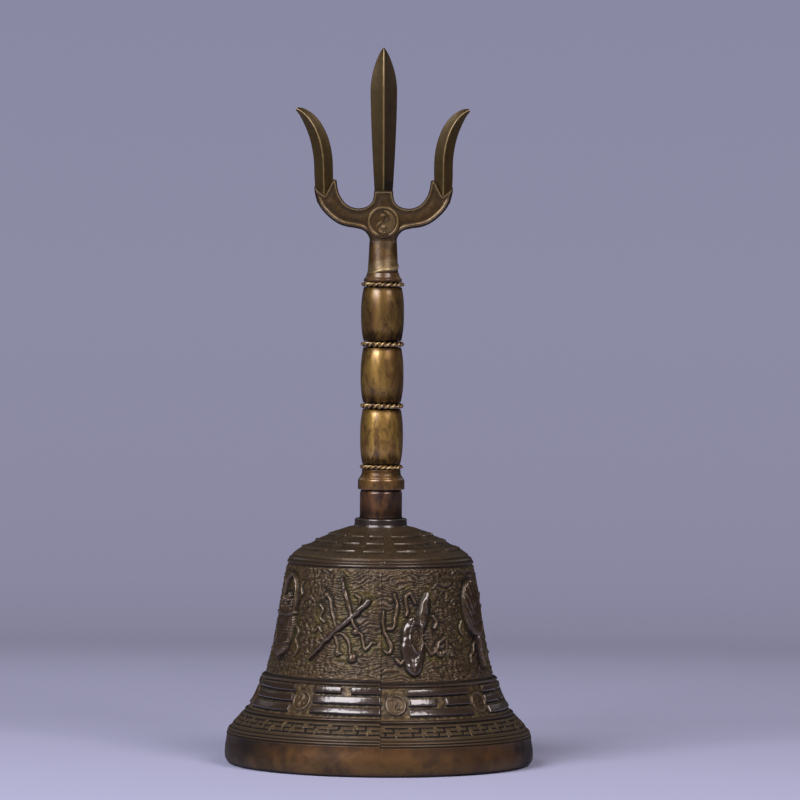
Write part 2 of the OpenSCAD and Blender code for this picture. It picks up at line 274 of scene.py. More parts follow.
def emblem_basket(r):
    r.stroke([(-4.4, 47.5), (-4.6, 53), (-2.6, 57.3), (0, 58.6), (2.6, 57.3), (4.6, 53), (4.4, 47.5)], 0.6, 1.2, 0.6)
    t, side, x, inside = r.leaf((0, 49.6), (0, 33.4), 6.0, 1.6, 0.25, 0.5, 0.0, 0.5, 3.0)
    weave = 0.16 * np.sin(4.2 * (r.u + r.v)) * np.sin(4.2 * (r.u - r.v))
    r.h = np.where(inside & (x < 0.93), r.h + weave, r.h)
    r.stroke([(-5.6, 47.2), (0, 46.4), (5.6, 47.2)], 0.65, 1.85, 0.6)
    r.stroke([(-4.2, 38.2), (0, 37.4), (4.2, 38.2)], 0.5, 1.75, 0.6)
    for cx, cy, turn in ((-3.0, 50.3, 25), (0.1, 51.6, 0), (3.1, 50.2, -25)):
        for k in range(5):
            w = math.radians(72 * k + turn + 90)
            r.blob(cx + 0.95 * math.cos(w), cy + 0.95 * math.sin(w), 0.85, 0.6, 1.35, 72 * k + turn + 90, 0.5)
        r.blob(cx, cy, 0.5, 0.5, 1.6, 0, 0.8)
    ribbons(r, [[(-6, 43.5), (-8, 41.6), (-7.2, 39.3), (-8.8, 37.2), (-8, 34.8)],
                [(6, 43.5), (8, 41.8), (7.1, 39.4), (8.7, 37.1), (7.9, 34.6)],
                [(-7.4, 53.6), (-6.3, 55.4), (-7.2, 57)], [(7.4, 53.2), (6.4, 55.1), (7.3, 56.8)]])


def emblem_fan(r):
    t, side, x, inside = r.leaf((0.6, 40.2), (-1.4, 57.6), 5.9, 2.0, 0.5, 0.55, 0.1, 0.7, 2.6)
    ribs = 0.16 * np.cos(TAU * side / np.maximum(1.45 * (0.35 + t), 0.2))
    r.h = np.where(inside & (x < 0.88), r.h + ribs, r.h)
    r.h = r.h + np.where(inside, 0.2 * bump(x, 0.93, 0.09), 0)
    r.stroke([(-0.3, 46), (0.5, 40.4), (0.9, 31.6)], [0.9, 0.8, 0.6], 1.9, 0.8)
    r.blob(0.7, 39.6, 1.5, 0.9, 1.95, -8, 0.7)
    ribbons(r, [[(1.5, 39), (3.6, 37.4), (3.1, 35.3), (5, 33.7), (6.6, 35)],
                [(0, 38.8), (-2.4, 38.1), (-3, 36), (-5, 35), (-5.6, 33)],
                [(6.8, 46), (8.4, 44), (7.6, 41.8)], [(-7.6, 45.4), (-8.8, 43.2), (-7.6, 41.4)]])


def emblem_lotus(r):
    for k, (turn, long, half) in enumerate(((62, 8.2, 2.1), (-62, 8.2, 2.1), (38, 9.6, 2.3), (-38, 9.6, 2.3),
                                            (15, 10.6, 2.3), (-15, 10.6, 2.3), (0, 9.4, 2.3))):
        a = math.radians(90 + turn)
        foot = (0, 45)
        tip = (foot[0] + long * math.cos(a), foot[1] + long * math.sin(a))
        t, side, x, inside = r.leaf(foot, tip, half, 1.1 + 0.12 * k, 0.55, 0.6, 0.35, 0.5)
        r.h = r.h - np.where(inside, 0.14 * bump(side, 0, 0.16), 0)
    r.blob(0, 45, 2.3, 1.5, 1.75, 0, 0.6)
    r.stroke([(0, 44), (0.8, 40), (0.2, 36), (1.2, 32)], 0.6, 1.2, 0.5)
    r.leaf((0.6, 38), (7.6, 36.4), 2.3, 1.2, 0.5, 0.55, 0.4, 0.4)
    r.leaf((0.4, 36.6), (-6.6, 34), 2.1, 1.2, 0.5, 0.55, 0.4, 0.4)
    ribbons(r, [[(-5, 42.5), (-7.2, 41.3), (-7.8, 38.6)], [(5, 43), (7, 42), (8.4, 39.6)]])


def emblem_flute(r):
    r.stroke([(-8.6, 55.2), (8.4, 35)], [0.95, 0.95], 1.6, 0.9)
    for k in range(7):
        t = 0.22 + 0.09 * k
        cx, cy = -8.6 + 17 * t, 55.2 - 20.2 * t
        r.h = np.where(np.hypot(r.u - cx, r.v - cy) < 0.33, r.h - 0.5, r.h)
    for t in (0.03, 0.16, 0.86, 0.97):
        cx, cy = -8.6 + 17 * t, 55.2 - 20.2 * t
        r.blob(cx, cy, 0.55, 1.25, 1.8, -50 + 90, 0.8)
    ribbons(r, [[(-5.4, 51.4), (-6.9, 48.8), (-5.6, 46.4), (-7.2, 43.6), (-6, 40.8), (-7.4, 38.4)],
                [(-5, 51.6), (-3.2, 49), (-4.2, 46), (-2.6, 43.4), (-3.4, 40.4)],
                [(5.4, 38.8), (7.6, 41), (6.4, 43.6), (8, 46.2)],
                [(1, 51.8), (3, 53.6), (5.4, 52.4), (6.4, 54.6)],
                [(-1, 36.4), (1, 35), (3, 36.2)]])


def emblem_drum(r):
    t, side, x, inside = r.leaf((-4.8, 34.6), (5.2, 55.4), 2.5, 1.8, 0.5, 0.16, 0.0, 0.7, 2.4)
    r.h = r.h + np.where(inside, 0.18 * (bump(t, 0.1, 0.03) + bump(t, 0.9, 0.03) + bump(t, 0.5, 0.02)), 0)
    r.stroke([(-7, 52.6), (7.4, 38.4)], [0.65, 0.5], 1.35, 0.7)
    r.stroke([(-7.8, 49.4), (6.2, 35.8)], [0.65, 0.5], 1.25, 0.7)
    r.blob(-7.1, 52.8, 1.0, 0.8, 1.5, 40, 0.7)
    r.blob(-7.9, 49.6, 1.0, 0.8, 1.4, 40, 0.7)
    ribbons(r, [[(5.6, 53), (7.8, 51.2), (7, 48.6), (8.8, 46)],
                [(-5.4, 36.8), (-7.8, 38.4), (-7.4, 41.4), (-9, 43)],
                [(0.4, 57), (-2, 56.4), (-3.6, 57.8)], [(2.6, 33.4), (4.4, 32.6), (6, 33.8)]])


def emblem_gourd(r):
    r.blob(0.2, 39.6, 5.0, 5.6, 2.0, 0, 0.8, 2.4)
    r.blob(-0.3, 48.8, 3.1, 3.3, 1.8, 0, 0.8, 2.4)
    r.stroke([(-0.5, 52), (-0.9, 54), (0.3, 56), (1.8, 57.2)], [0.95, 0.8, 0.7, 0.55], 1.3, 0.6)
    r.stroke([(-3.1, 45), (0, 44.3), (3, 45)], 0.55, 1.7, 0.6)
    ribbons(r, [[(2.6, 45), (5, 46.8), (6.8, 45.4), (6.6, 42.6), (8.4, 40.4), (7.6, 37.4)],
                [(-2.8, 45), (-5.4, 46.2), (-6.8, 44), (-6.2, 41.2), (-8, 39), (-7.4, 36)],
                [(4.4, 51.8), (6.2, 53.2), (5.6, 55.2)], [(-5, 52.4), (-6.6, 53.6), (-6, 55.8)]])
    r.h = r.h + 0.15 * bump(np.hypot((r.u - 0.2) / 3.0, (r.v - 39.6) / 3.4), 1.0, 0.1) * (r.h > 1)


EMBLEMS = [(-22.0, emblem_sword_and_whisk), (20.0, emblem_castanets), (65.5, emblem_fan), (111.0, emblem_lotus),
           (156.0, emblem_flute), (201.0, emblem_drum), (247.0, emblem_gourd), (295.5, emblem_basket)]


# ------------------------------------------------------------------ meshes

def new_mesh(name, verts, faces, smooth_faces=True):
    """A mesh object from vertices in mm and faces of one size."""
    me = bpy.data.meshes.new(name)
    faces = np.asarray(faces, dtype=np.int32)
    n, k = faces.shape
    me.vertices.add(len(verts))
    me.vertices.foreach_set("co", (np.asarray(verts, float) * MM).ravel())
    me.loops.add(n * k)
    me.loops.foreach_set("vertex_index", faces.ravel())
    me.polygons.add(n)
    me.polygons.foreach_set("loop_start", np.arange(n, dtype=np.int32) * k)
    if smooth_faces:
        me.polygons.foreach_set("use_smooth", np.ones(n, dtype=bool))
    me.update(calc_edges=True)
    me.validate()
    ob = bpy.data.objects.new(name, me)
    bpy.context.scene.collection.objects.link(ob)
    return ob


def put(ob, **fields):
    for name, values in fields.items():
        a = ob.data.attributes.new(name, "FLOAT", "POINT")
        a.data.foreach_set("value", np.asarray(values, dtype=np.float32).ravel())


def grid(name, p, loop_rows=True, uv=True):
    """A skin over a grid of points, rows by columns. Columns wrap. Rows wrap too and close the skin, or else it stops
    at the first and last rows.
    """
    nr, nc, _ = p.shape
    i = np.arange(nr if loop_rows else nr - 1)[:, None]
    j = np.arange(nc)[None, :]
    i2, j2 = (i + 1) % nr, (j + 1) % nc
    quads = np.stack([i * nc + j + 0 * i2, i * nc + j2 + 0 * i2, i2 * nc + j2, i2 * nc + j], -1).reshape(-1, 4)
    ob = new_mesh(name, p.reshape(-1, 3), quads)
    if uv:
        along = np.linalg.norm(np.diff(np.concatenate([p[:, :1], p[:1, :1]]), axis=0), axis=2)[:, 0]
        s = np.concatenate([[0], np.cumsum(along)])
        s = s / s[-1]
        u0, u1 = (j + 0 * i) / nc, (j + 1 + 0 * i) / nc
        v0, v1 = s[i + 0 * j], s[i + 1 + 0 * j]
        layer = ob.data.uv_layers.new(name="OFBake")
        layer.data.foreach_set("uv", np.stack([u0, v0, u1, v0, u1, v1, u0, v1], -1).astype(np.float32).ravel())
    return ob


def blur(a, across, along):
    """A soft average over a grid whose columns wrap."""
    for _ in range(2):
        out = a.copy()
        for k in range(1, across + 1):
            out += np.roll(a, k, 1) + np.roll(a, -k, 1)
        a = out / (2 * across + 1)
        pad = np.pad(a, ((along, along), (0, 0)), mode="edge")
        c = np.cumsum(np.concatenate([np.zeros((1, a.shape[1])), pad]), 0)
        a = (c[2 * along + 1:] - c[:-2 * along - 1]) / (2 * along + 1)
    return a


def resample(points, step):
    """Points along a polyline, no further apart than step, its own corners kept."""
    out = [points[0]]
    for a, b in zip(points[:-1], points[1:]):
        n = max(1, int(math.ceil(math.hypot(b[0] - a[0], b[1] - a[1]) / step)))
        out += [(a[0] + (b[0] - a[0]) * k / n, a[1] + (b[1] - a[1]) * k / n) for k in range(1, n + 1)]
    return out


# ------------------------------------------------------------------ the bell

def bell_rows():
    """The outside's rows from the foot up, in mm."""
    rim = curve([(46.0, 0), (46.45, 0.22), (46.95, 0.75), (47.3, 1.3), (47.52, 2.1), (47.6, 3.0), (47.56, 4.2), (47.42, 5.4),
                 (47.22, 6.6), (47.08, 7.6), (47.0, 8.5)], 5)
    lines = [(47.0, 8.5), (46.92, 9.0), (46.65, 10.0), (46.5, 10.35), (46.2, 10.7), (45.3, 11.6)]
    lines = resample(lines, 0.09)
    fret = resample([(45.3, 11.6), (43.7, 13.4), (42.0, 15.3)], 0.085)
    ledge = resample([(42.0, 15.3), (41.5, 15.9), (41.2, 16.5), (40.5, 17.0), (40.2, 17.4)], 0.085)
    step = 0.2
    band = curve([(40.2, 17.4), (39.7, 18), (38.3, 20.2), (36.9, 23.6), (36.2, 26.3)], 60)
    bead = resample([(36.2, 26.3), (36.3, 26.9), (35.6, 27.5), (34.9, 27.9)], 0.11)
    relief = curve([p for p in OUTSIDE if 27.8 < p[1] < 61.7], 60)
    mould = resample([(28.4, 61.6), (28.7, 62.0), (28.6, 62.9), (27.9, 63.5), (26.9, 64.4)], 0.1)
    dome = curve([(26.9, 64.4), (24.3, 66.05), (20.6, 68.3), (16.9, 70.15), (13.5, 71.7), (10.4, 72.75), (8.7, 73.15)], 40)

    def thin(line, gap):
        d = np.concatenate([[0], np.cumsum(np.linalg.norm(np.diff(line, axis=0), axis=1))])
        n = int(math.ceil(d[-1] / gap))
        at = np.linspace(0, d[-1], n + 1)
        return np.stack([np.interp(at, d, line[:, 0]), np.interp(at, d, line[:, 1])], 1)
    parts = [rim, np.array(lines), np.array(fret), np.array(ledge), thin(band, 0.17), np.array(bead),
             thin(relief, step), np.array(mould), thin(dome, 0.19)]
    rows = np.concatenate([parts[0]] + [p[1:] for p in parts[1:]])
    return rows


def edge_angles():
    """Columns round the bell, in degrees, with pairs of them at the ends of the trigram lines."""
    n = 960
    base = np.arange(n) * 360.0 / n
    ends = []
    for i in range(8):
        c = place(i)
        ends += [c + d for d in (-18.5, -16.5, -3, -2.5, 2.5, 3, 16.5, 18.5)]
    ends = np.array(ends) % 360
    far = np.min(np.abs((base[:, None] - ends[None, :] + 180) % 360 - 180), 1)
    base = base[far > 0.17]
    return np.sort(np.concatenate([base, (ends - 0.07) % 360, (ends + 0.07) % 360]))


def box1(x, lo, hi, soft):
    return smooth(x, lo - soft, lo + soft) * (1 - smooth(x, hi - soft, hi + soft))


def trigram_mask(deg, v, mids, halves, span, gap, order, soft_deg, soft, rs):
    """Height share of the trigram lines, and each line's own number for small differences."""
    h = np.zeros(np.broadcast(deg, v).shape)
    lean = np.zeros(h.shape)
    for i in range(8):
        c = place(i)
        d = (deg - c + 180) % 360 - 180
        for j in range(3):
            whole = order[i][j]
            cells = [(-span / 2, span / 2)] if whole else [(-span / 2, -gap / 2), (gap / 2, span / 2)]
            for lo, hi in cells:
                push, tilt, drop = rs.uniform(-0.05, 0.05), rs.uniform(-0.004, 0.004), rs.uniform(0.86, 1.05)
                along = box1(d, lo, hi, soft_deg)
                w = v - (mids[j] + push) - tilt * d
                x = w / halves[j]
                bar = along * box1(w, -halves[j], halves[j], soft)
                crown = 1 - 0.16 * np.clip(np.abs(x), 0, 1) ** 2.5 - 0.10 * smooth(np.abs(2 * (d - lo) / (hi - lo) - 1), 0.8, 1)
                h = np.maximum(h, bar * crown * drop)
                lean = np.where(bar > 0.5, rs.uniform(0, 1), lean)
    return h, lean


def swirl(u, v, r):
    """The two-part curved emblem in a circle of radius r: 1 on one part, 0 on the other, and the distance to the line between."""
    rad = np.hypot(u, v)
    up, down = np.hypot(u, v - r / 2), np.hypot(u, v + r / 2)
    part = np.where(up < r / 2, 1.0, np.where(down < r / 2, 0.0, (u < 0) * 1.0))
    arc_up = np.where(u > 0, np.abs(up - r / 2), np.minimum(np.hypot(u, v), np.hypot(u, v - r)))
    arc_dn = np.where(u < 0, np.abs(down - r / 2), np.minimum(np.hypot(u, v), np.hypot(u, v + r)))
    line = np.minimum(arc_up, arc_dn)
    return part, line, rad, np.hypot(u, v - r / 2), np.hypot(u, v + r / 2)


def make_bell():
    rows = bell_rows()
    deg = edge_angles()
    nr, nc = len(rows), len(deg)
    r0, z0 = rows[:, 0], rows[:, 1]
    th = np.radians(deg)[None, :]
    s = np.concatenate([[0], np.cumsum(np.hypot(np.diff(r0), np.diff(z0)))])[:, None]
    t = np.gradient(rows, axis=0)
    # a softened direction outwards, so that the ledges' corners stay clean
    for _ in range(3):
        t[1:-1] = (t[:-2] + 2 * t[1:-1] + t[2:]) / 4
    ln = np.hypot(t[:, 0], t[:, 1])
    nrm = np.stack([t[:, 1] / ln, -t[:, 0] / ln], 1)
    R, Z = r0[:, None], z0[:, None]
    front = (deg[None, :] - 270 + 180) % 360 - 180      # 0 at the front, + to the right
    H = np.zeros((nr, nc))
    shine = np.zeros((nr, nc))
    warm = np.zeros((nr, nc))
    grime = np.zeros((nr, nc))
    rs = np.random.RandomState(5)

    # rim: slow dents and small nicks
    rim = (1 - smooth(Z, 8.92, 9.06))
    slow = fractal(th, s, 290, 26, 3, 2)
    fine = fractal(th, s, 290, 5, 9, 3)
    H += rim * smooth(Z, 0.0, 0.8) * (0.07 * slow + 0.02 * fine)
    warm += rim
    shine += 0.30 * rim
    # painted shade: the rim's colour is darkened along its foot and on its sides, 30 to 90 degrees round from the front
    # and the back; the line after adds random tarnish patches
    grime += rim * (1.25 * (1 - smooth(Z, 0.25, 0.95)) + 0.50 * smooth(np.abs(((front + 90) % 180) - 90), 30, 66)
                    + 0.50 * smooth(np.abs(((front + 90) % 180) - 90), 50, 80))
    grime += rim * 0.42 * smooth(fractal(th, s, 290, 17, 19, 3), 0.05, 0.55)

    # fine lines over the rim
    H += 0.10 * bump(Z, 8.86, 0.22) - 0.26 * bump(Z, 9.26, 0.20) + 0.06 * bump(Z, 9.68, 0.24) - 0.24 * bump(Z, 10.14, 0.20) \
        + 0.12 * bump(Z, 10.62, 0.28) - 0.24 * bump(Z, 11.12, 0.20) + 0.0 * th
    grime += 0.8 * (bump(Z, 9.26, 0.22) + bump(Z, 10.14, 0.22) + bump(Z, 11.12, 0.22)) + 0.0 * th
    # the wandering of hand-cut lines
    wander = 0.10 * fractal(th, s * 0 + 3.0, 270, 34, 41, 2)

    # fret: rows of bars under a line, with hooks that climb from row to row
    tt = (Z - 11.65) / 3.7 + 0.02 * wander                    # 0 at the lower edge, 1 at the upper
    inband = box1(Z, 11.62, 15.42, 0.08)
    period = 360 / 33.0
    sway = 0.05 * noise(th / TAU * 33, 0 * th + 5.2, 33, 78)
    ph = (front - 1.7) / period + sway
    ucell = (ph - np.round(ph)) * period * 43.7 * math.pi / 180
    ph2 = ph - 0.5
    lcell = (ph2 - np.round(ph2)) * period * 43.7 * math.pi / 180
    row = lambda centre, half: box1(tt, centre - half, centre + half, 0.03) + 0 * ucell
    bars = np.maximum(row(0.03, 0.085), row(0.97, 0.08))
    bars = np.maximum(bars, row(0.66, 0.11) * (1 - 0.9 * box1(lcell, -1.2, -0.55, 0.15)))
    bars = np.maximum(bars, row(0.34, 0.11) * (1 - 0.9 * box1(ucell, 0.55, 1.2, 0.15)))

    def hook(cell, foot, flip):
        """A rounded arch with one long leg."""
        x, y = cell * flip, (tt - foot) * 3.9
        leg = box1(x + 0.10 * (y - 0.9), -0.62, -0.12, 0.13) * box1(y, -0.1, 1.05, 0.12)
        arch = bump(np.hypot(x - 0.12, (y - 1.0) * 1.0), 0.55, 0.36) * smooth(y, 0.8, 1.1)
        tail = box1(x - 0.35 * (1.0 - y), 0.42, 0.92, 0.13) * box1(y, 0.35, 1.05, 0.12)
        return np.maximum(leg, np.maximum(arch, tail))
    hooks = np.maximum(hook(ucell, 0.46, 1), hook(lcell, 0.12, 1))
    fret = np.maximum(bars * 0.26, hooks * 0.40)
    fret = fret * (0.85 + 0.25 * fractal(th, s, 265, 9, 77, 2)) + 0.05 * fractal(th, s, 265, 1.4, 79, 2)
    H += inband * (fret - 0.12)
    shine += inband * smooth(fret, 0.2, 0.4) * 0.12
    grime += inband * ((1 - smooth(fret, 0.05, 0.17)) * 1.3 + 0.16)
    lit = smooth(noise(th / TAU * 20, 0 * s + 8.1, 20, 79), -0.3, 0.5)
    tan = inband * smooth(hooks, 0.35, 0.8) * (0.35 + 0.55 * lit) + 0.16 * inband * smooth(bars, 0.4, 0.8)

    # ledge: a dark groove and a bead
    H += -0.34 * bump(Z, 15.88, 0.28) + 0.16 * bump(Z, 16.42, 0.26) - 0.22 * bump(Z, 16.86, 0.2) + 0 * th
    grime += 1.1 * bump(Z, 15.88, 0.34) + 0.9 * bump(Z, 16.86, 0.22) + 0 * th
    shine += 0.68 * bump(Z, 16.46, 0.18) + 0 * th

    # trigram band
    band = box1(Z, 17.0, 26.2, 0.1)
    skirt_order = [TRIGRAMS[i] for i in range(8)]
    tri, own = trigram_mask(deg[None, :], Z, LINES_Z, LINES_HALF, 33, 5, skirt_order, 0.09, 0.05, rs)
    rough = fractal(th, s, 240, 1.5, 12, 3)
    H += band * (0.085 * rough * (1 - tri))
    H += tri * (0.58 + 0.03 * fractal(th, s, 240, 6, 14, 2))
    H -= band * (1 - tri) * 0.10
    shine = np.maximum(shine, smooth(tri, 0.40, 0.66))
    # painted shade: a dark outline round each raised trigram line, and below each one a painted shadow line, which is
    # also pressed in a little and kept out of the lighter ground
    grime += band * np.clip(blur(tri, 1, 1) - tri, 0, 1) * 2.0
    shadow_under_bars = np.zeros(tri.shape)
    for k in range(1, 4):
        shadow_under_bars[:-k] = np.maximum(shadow_under_bars[:-k], tri[k:])
    shadow_under_bars = band * np.clip(shadow_under_bars - tri, 0, 1)
    grime += 1.5 * shadow_under_bars
    H -= 0.12 * shadow_under_bars
    tan = tan + band * (1 - smooth(tri, 0.1, 0.5)) * (1 - shadow_under_bars) * np.clip(0.48 + 0.95 * rough, 0, 1)

    # roundels between the trigrams
    for i in range(8):
        c = place(i, 22.5)
        d = (deg[None, :] - c + 180) % 360 - 180
        u = np.radians(d) * 37.75
        v = (Z - 21.3) * 1.07 + 0 * u
        near = (np.abs(u) < 4.2) & (np.abs(v) < 4.2)
        turn = math.radians(38 + 11 * (i % 3))
        a, b = u * math.cos(turn) + v * math.sin(turn), -u * math.sin(turn) + v * math.cos(turn)
        part, line, rad, e1, e2 = swirl(a, b, 2.45)
        h = 0.36 * (1 - smooth(rad, 3.12, 3.32)) + 0.22 * bump(rad, 2.95, 0.34)
        field = rad < 2.6
        h = h + field * (0.13 * part - 0.10 * (1 - part)) * (1 - smooth(rad, 2.35, 2.6))
        h = h + field * (0.16 * bump(line, 0, 0.24))
        h = h + field * (0.16 * bump(e1, 0, 0.42) * -1 + 0.2 * bump(e2, 0, 0.42))
        H = np.where(near & (rad < 3.35), h - 0.02 + 0.03 * rough, H)
        # painted shade: a dark ring on the ground round each roundel, in colour only
        painted_shade_ring = near & (rad >= 3.3) & (rad < 3.9)
        grime = np.where(painted_shade_ring, grime + 0.8 * (1 - smooth(rad, 3.3, 3.9)), grime)
        shine = np.where(near & (rad < 3.3), 0.25, shine)
        tan = np.where(near & (rad < 3.3), np.clip(0.42 + 0.5 * rough, 0, 1) - 0.35 * (bump(rad, 2.5, 0.3) + bump(line, 0.45, 0.3) * field), tan)

    # bead over the trigrams and the dark line above it
    H += 0.06 * bump(Z, 26.85, 0.36) - 0.36 * bump(Z, 27.62, 0.34) - 0.12 * bump(Z, 26.3, 0.18) + 0 * th
    grime += 1.3 * bump(Z, 27.62, 0.42) + 0.8 * bump(Z, 26.3, 0.2) + 0 * th
    shine += 0.80 * bump(Z, 27.0, 0.26) + 0 * th

    # relief band: flowing ridges under eight emblems
    rb = box1(Z, 28.15, 61.35, 0.2)
    girth = 200.0
    warp = 1.15 * noise(th / TAU * 24, s / 6.4, 24, 31) + 0.55 * noise(th / TAU * 52, s / 3.0, 52, 32)
    push = 1.2 * noise(th / TAU * 30, s / 7.5, 30, 33)
    pitch = 0.98
    phase = (s + 0.0 * th) / pitch + 1.5 * warp
    ridge = 0.5 + 0.5 * np.cos(TAU * phase)
    ridge = ridge ** 1.3 * (0.35 + 0.65 * smooth(noise(th / TAU * 70, s / 2.4, 70, 37), -0.35, 0.3))
    fine_phase = s / 0.74 + 1.9 * noise(th / TAU * 46 + 0.3 * push, s / 3.6, 46, 35)
    little = (0.5 + 0.5 * np.cos(TAU * fine_phase)) ** 1.4
    which = smooth(noise(th / TAU * 18, s / 9.0, 18, 36), -0.25, 0.35)
    # on the sides of each casting half the ground is rougher and finer
    side = smooth(np.abs(((front + 90) % 180) - 90), 26, 44)
    which = np.clip(which * 0.8 + 0.75 * side, 0, 1)
    grain = fractal(th, s, girth, 1.5, 51, 2)
    ground = (0.40 * ridge * (1 - which) + 0.27 * little * which)
    ground = ground + (0.13 + 0.10 * which) * grain + (0.05 + 0.08 * side) * fractal(th, s, girth, 0.95, 52, 2)
    ground = ground + 0.10 * np.abs(noise(th / TAU * 90, s / 2.1, 90, 38)) * 1.4
    art = np.zeros((nr, nc))
    art_shine = np.zeros((nr, nc))
    gap = np.full((nr, nc), 9.0)
    zr = np.where((z0 > 28.3) & (z0 < 61.3))[0]
    for centre, draw in EMBLEMS:
        d = (deg - 270 - centre + 180) % 360 - 180
        cols = np.where(np.abs(d) < 22.4)[0]
        cols = cols[np.argsort(d[cols])]
        ru = np.radians(d[cols])[None, :] * 32.5
        tc, sc = th[:, cols], s[zr]
        u = ru + 0.26 * noise(tc / TAU * 80, sc / 2.5, 80, 43)
        v = z0[zr][:, None] + 0.26 * noise(tc / TAU * 80, sc / 2.5, 80, 44)
        e = Relief(u, v)
        draw(e)
        # hand-worked edges
        idx = np.ix_(zr, cols)
        worn = 1 + 0.14 * noise(tc / TAU * 66, sc / 3.0, 66, 45)
        art[idx] = np.maximum(art[idx], e.h * worn)
        art_shine[idx] = np.maximum(art_shine[idx], e.shine * (e.h > 0.3))
        gap[idx] = np.minimum(gap[idx], e.gap)
    lift = smooth(art, 0.02, 0.5)
    ground = ground * (0.35 + 0.65 * smooth(gap, 0.1, 1.5))
    H += rb * np.where(art > 0, np.maximum(art * (1 + 0.04 * rough) + 0.05, ground * 0.6), ground)
    H -= rb * 0.10
    shine = np.where(rb > 0.5, art_shine * smooth(art, 0.5, 1.0), shine)
    # painted shadow: the ground's colour is darkened round the emblems' raised strokes
    grime += rb * (1 - smooth(gap, -0.1, 0.8)) * (1 - lift) * 1.4
    tan = np.clip(tan, 0, 1)
    olive = 0.30 * rim * (1 - smooth(Z, 1.5, 6)) + rb * (1 - lift) * (0.10 + 0.62 * (1 - smooth(gap, 0.1, 2.4))) * smooth(noise(th / TAU * 22, s / 9.0, 22, 47), -0.35, 0.35)

    # mouldings at the shoulder
    H += 0.20 * bump(Z, 62.35, 0.42) - 0.20 * bump(Z, 62.95, 0.24) + 0.22 * bump(Z, 63.45, 0.40) \
        - 0.16 * bump(Z, 61.75, 0.22) - 0.15 * bump(Z, 64.05, 0.26) + 0 * th
    shine += 0.80 * (bump(Z, 62.35, 0.30) + bump(Z, 63.45, 0.28)) + 0 * th
    grime += 0.7 * (bump(Z, 62.95, 0.26) + bump(Z, 61.75, 0.26)) + 0 * th

    # dome: three rings of trigram lines
    on = smooth(Z, 64.3, 64.6) + 0 * th
    order = [TRIGRAMS[DOME_ORDER[i]] for i in range(8)]
    dm, _ = trigram_mask(deg[None, :], R + 0 * th, DOME_R, DOME_HALF, 37, 6, order, 0.2, 0.14, rs)
    dm = dm * on
    lip = np.zeros(dm.shape)
    for mid_r, half_r in zip(DOME_R, DOME_HALF):
        lip = np.maximum(lip, bump(R, mid_r + half_r - 0.30, 0.34) + 0 * th)
    lip = lip * smooth(dm, 0.2, 0.6) * (0.75 + 0.35 * smooth(fractal(th, s, 120, 7, 63, 2), -0.4, 0.4))
    H += dm * (0.12 + 0.03 * fractal(th, s, 120, 5, 62, 2)) + 0.30 * lip
    H += 0.40 * bump(Z, 65.6, 1.7) - 0.18 * bump(Z, 62.6, 1.1) + 0 * th
    H += on * (1 - dm) * (0.07 * fractal(th, s, 120, 1.8, 61, 3) - 0.05)
    shine = np.maximum(shine, smooth(dm, 0.6, 0.95) * 0.30)
    shine = np.maximum(shine, lip)
    speck = smooth(fractal(th, s, 120, 1.3, 64, 2), 0.45, 0.8) * on * (1 - lip)
    tan = tan + 0.55 * speck
    # painted shade: darker round the dome's raised lines; the dome is also darkened a little overall and more towards
    # its outer edge
    grime += np.clip(blur(dm, 4, 3) - dm, 0, 1) * 0.45 + 0.10 * on + 0.25 * on * smooth(R, 22.5, 25.5) * (1 - smooth(Z, 65.6, 66.4))
    # a small casting blemish at the front of the shoulder
    u = np.radians(front - 1.2) * 28.0
    v = s - np.interp(63.2, z0, s[:, 0])
    H += 0.35 * np.exp(-((u / 0.55) ** 2 + (v / 0.8) ** 2)) - 0.3 * np.exp(-(((u - 0.5) / 0.3) ** 2 + ((v - 0.3) / 0.35) ** 2))

    # where the mould's halves met: a fine raised line, the right half a little lower
    for at, lo, hi, proud in ((0.7, 8.4, 62, 0.75), (27.2, 44, 61, 0.6), (180.4, 8.4, 62, 0.75)):
        w = (front - at + 180) % 360 - 180
        arc = np.radians(w) * R
        wob = 0.10 * noise(th * 0 + s / 5 + 3, s / 3.1, 60, 90)
        H += proud * box1(Z, lo, hi, 0.5) * (0.15 * bump(arc + wob, 0, 0.2) - 0.16 * bump(arc + wob, 0.36, 0.2))
    step = smooth(front, 0.6, 1.0) * (1 - smooth(front, 22, 60))
    H -= 0.05 * step * box1(Z, 9, 45, 0.5)

    H = H + 0.012 * fractal(th, s, 240, 1.1, 71, 2)
    H = np.where(Z < 0.02, 0, H)

    soft = blur(H, 3, 4)
    wide = blur(H, 8, 9)
    relief_at = np.clip((H - soft) / 0.20, -1, 1) * 0.6 + np.clip((H - wide) / 0.55, -1, 1) * 0.4
    turn = np.zeros(nr)
    ang = np.unwrap(np.arctan2(np.gradient(z0), np.gradient(r0)))
    relief_at = 0.5 + 0.5 * relief_at
    grime = np.clip(grime, 0, 1.5)

    ox = (r0[:, None] + H * nrm[:, 0:1])
    oz = (z0[:, None] + H * nrm[:, 1:2])
    # the right half of the mould sat a little lower than the left
    right = smooth(front, SEAM[0] - 0.15, SEAM[0] + 0.15) * (front > 0) + (front < SEAM[1] - 360) * 1.0
    oz = oz + (0.27 - 0.55 * np.clip(right, 0, 1)) * smooth(Z, 1.2, 6.5) * (1 - 0.8 * smooth(Z, 27.5, 40) - 0.2 * smooth(Z, 58, 62))
    outer = np.stack([ox * np.cos(th), ox * np.sin(th), oz], -1)

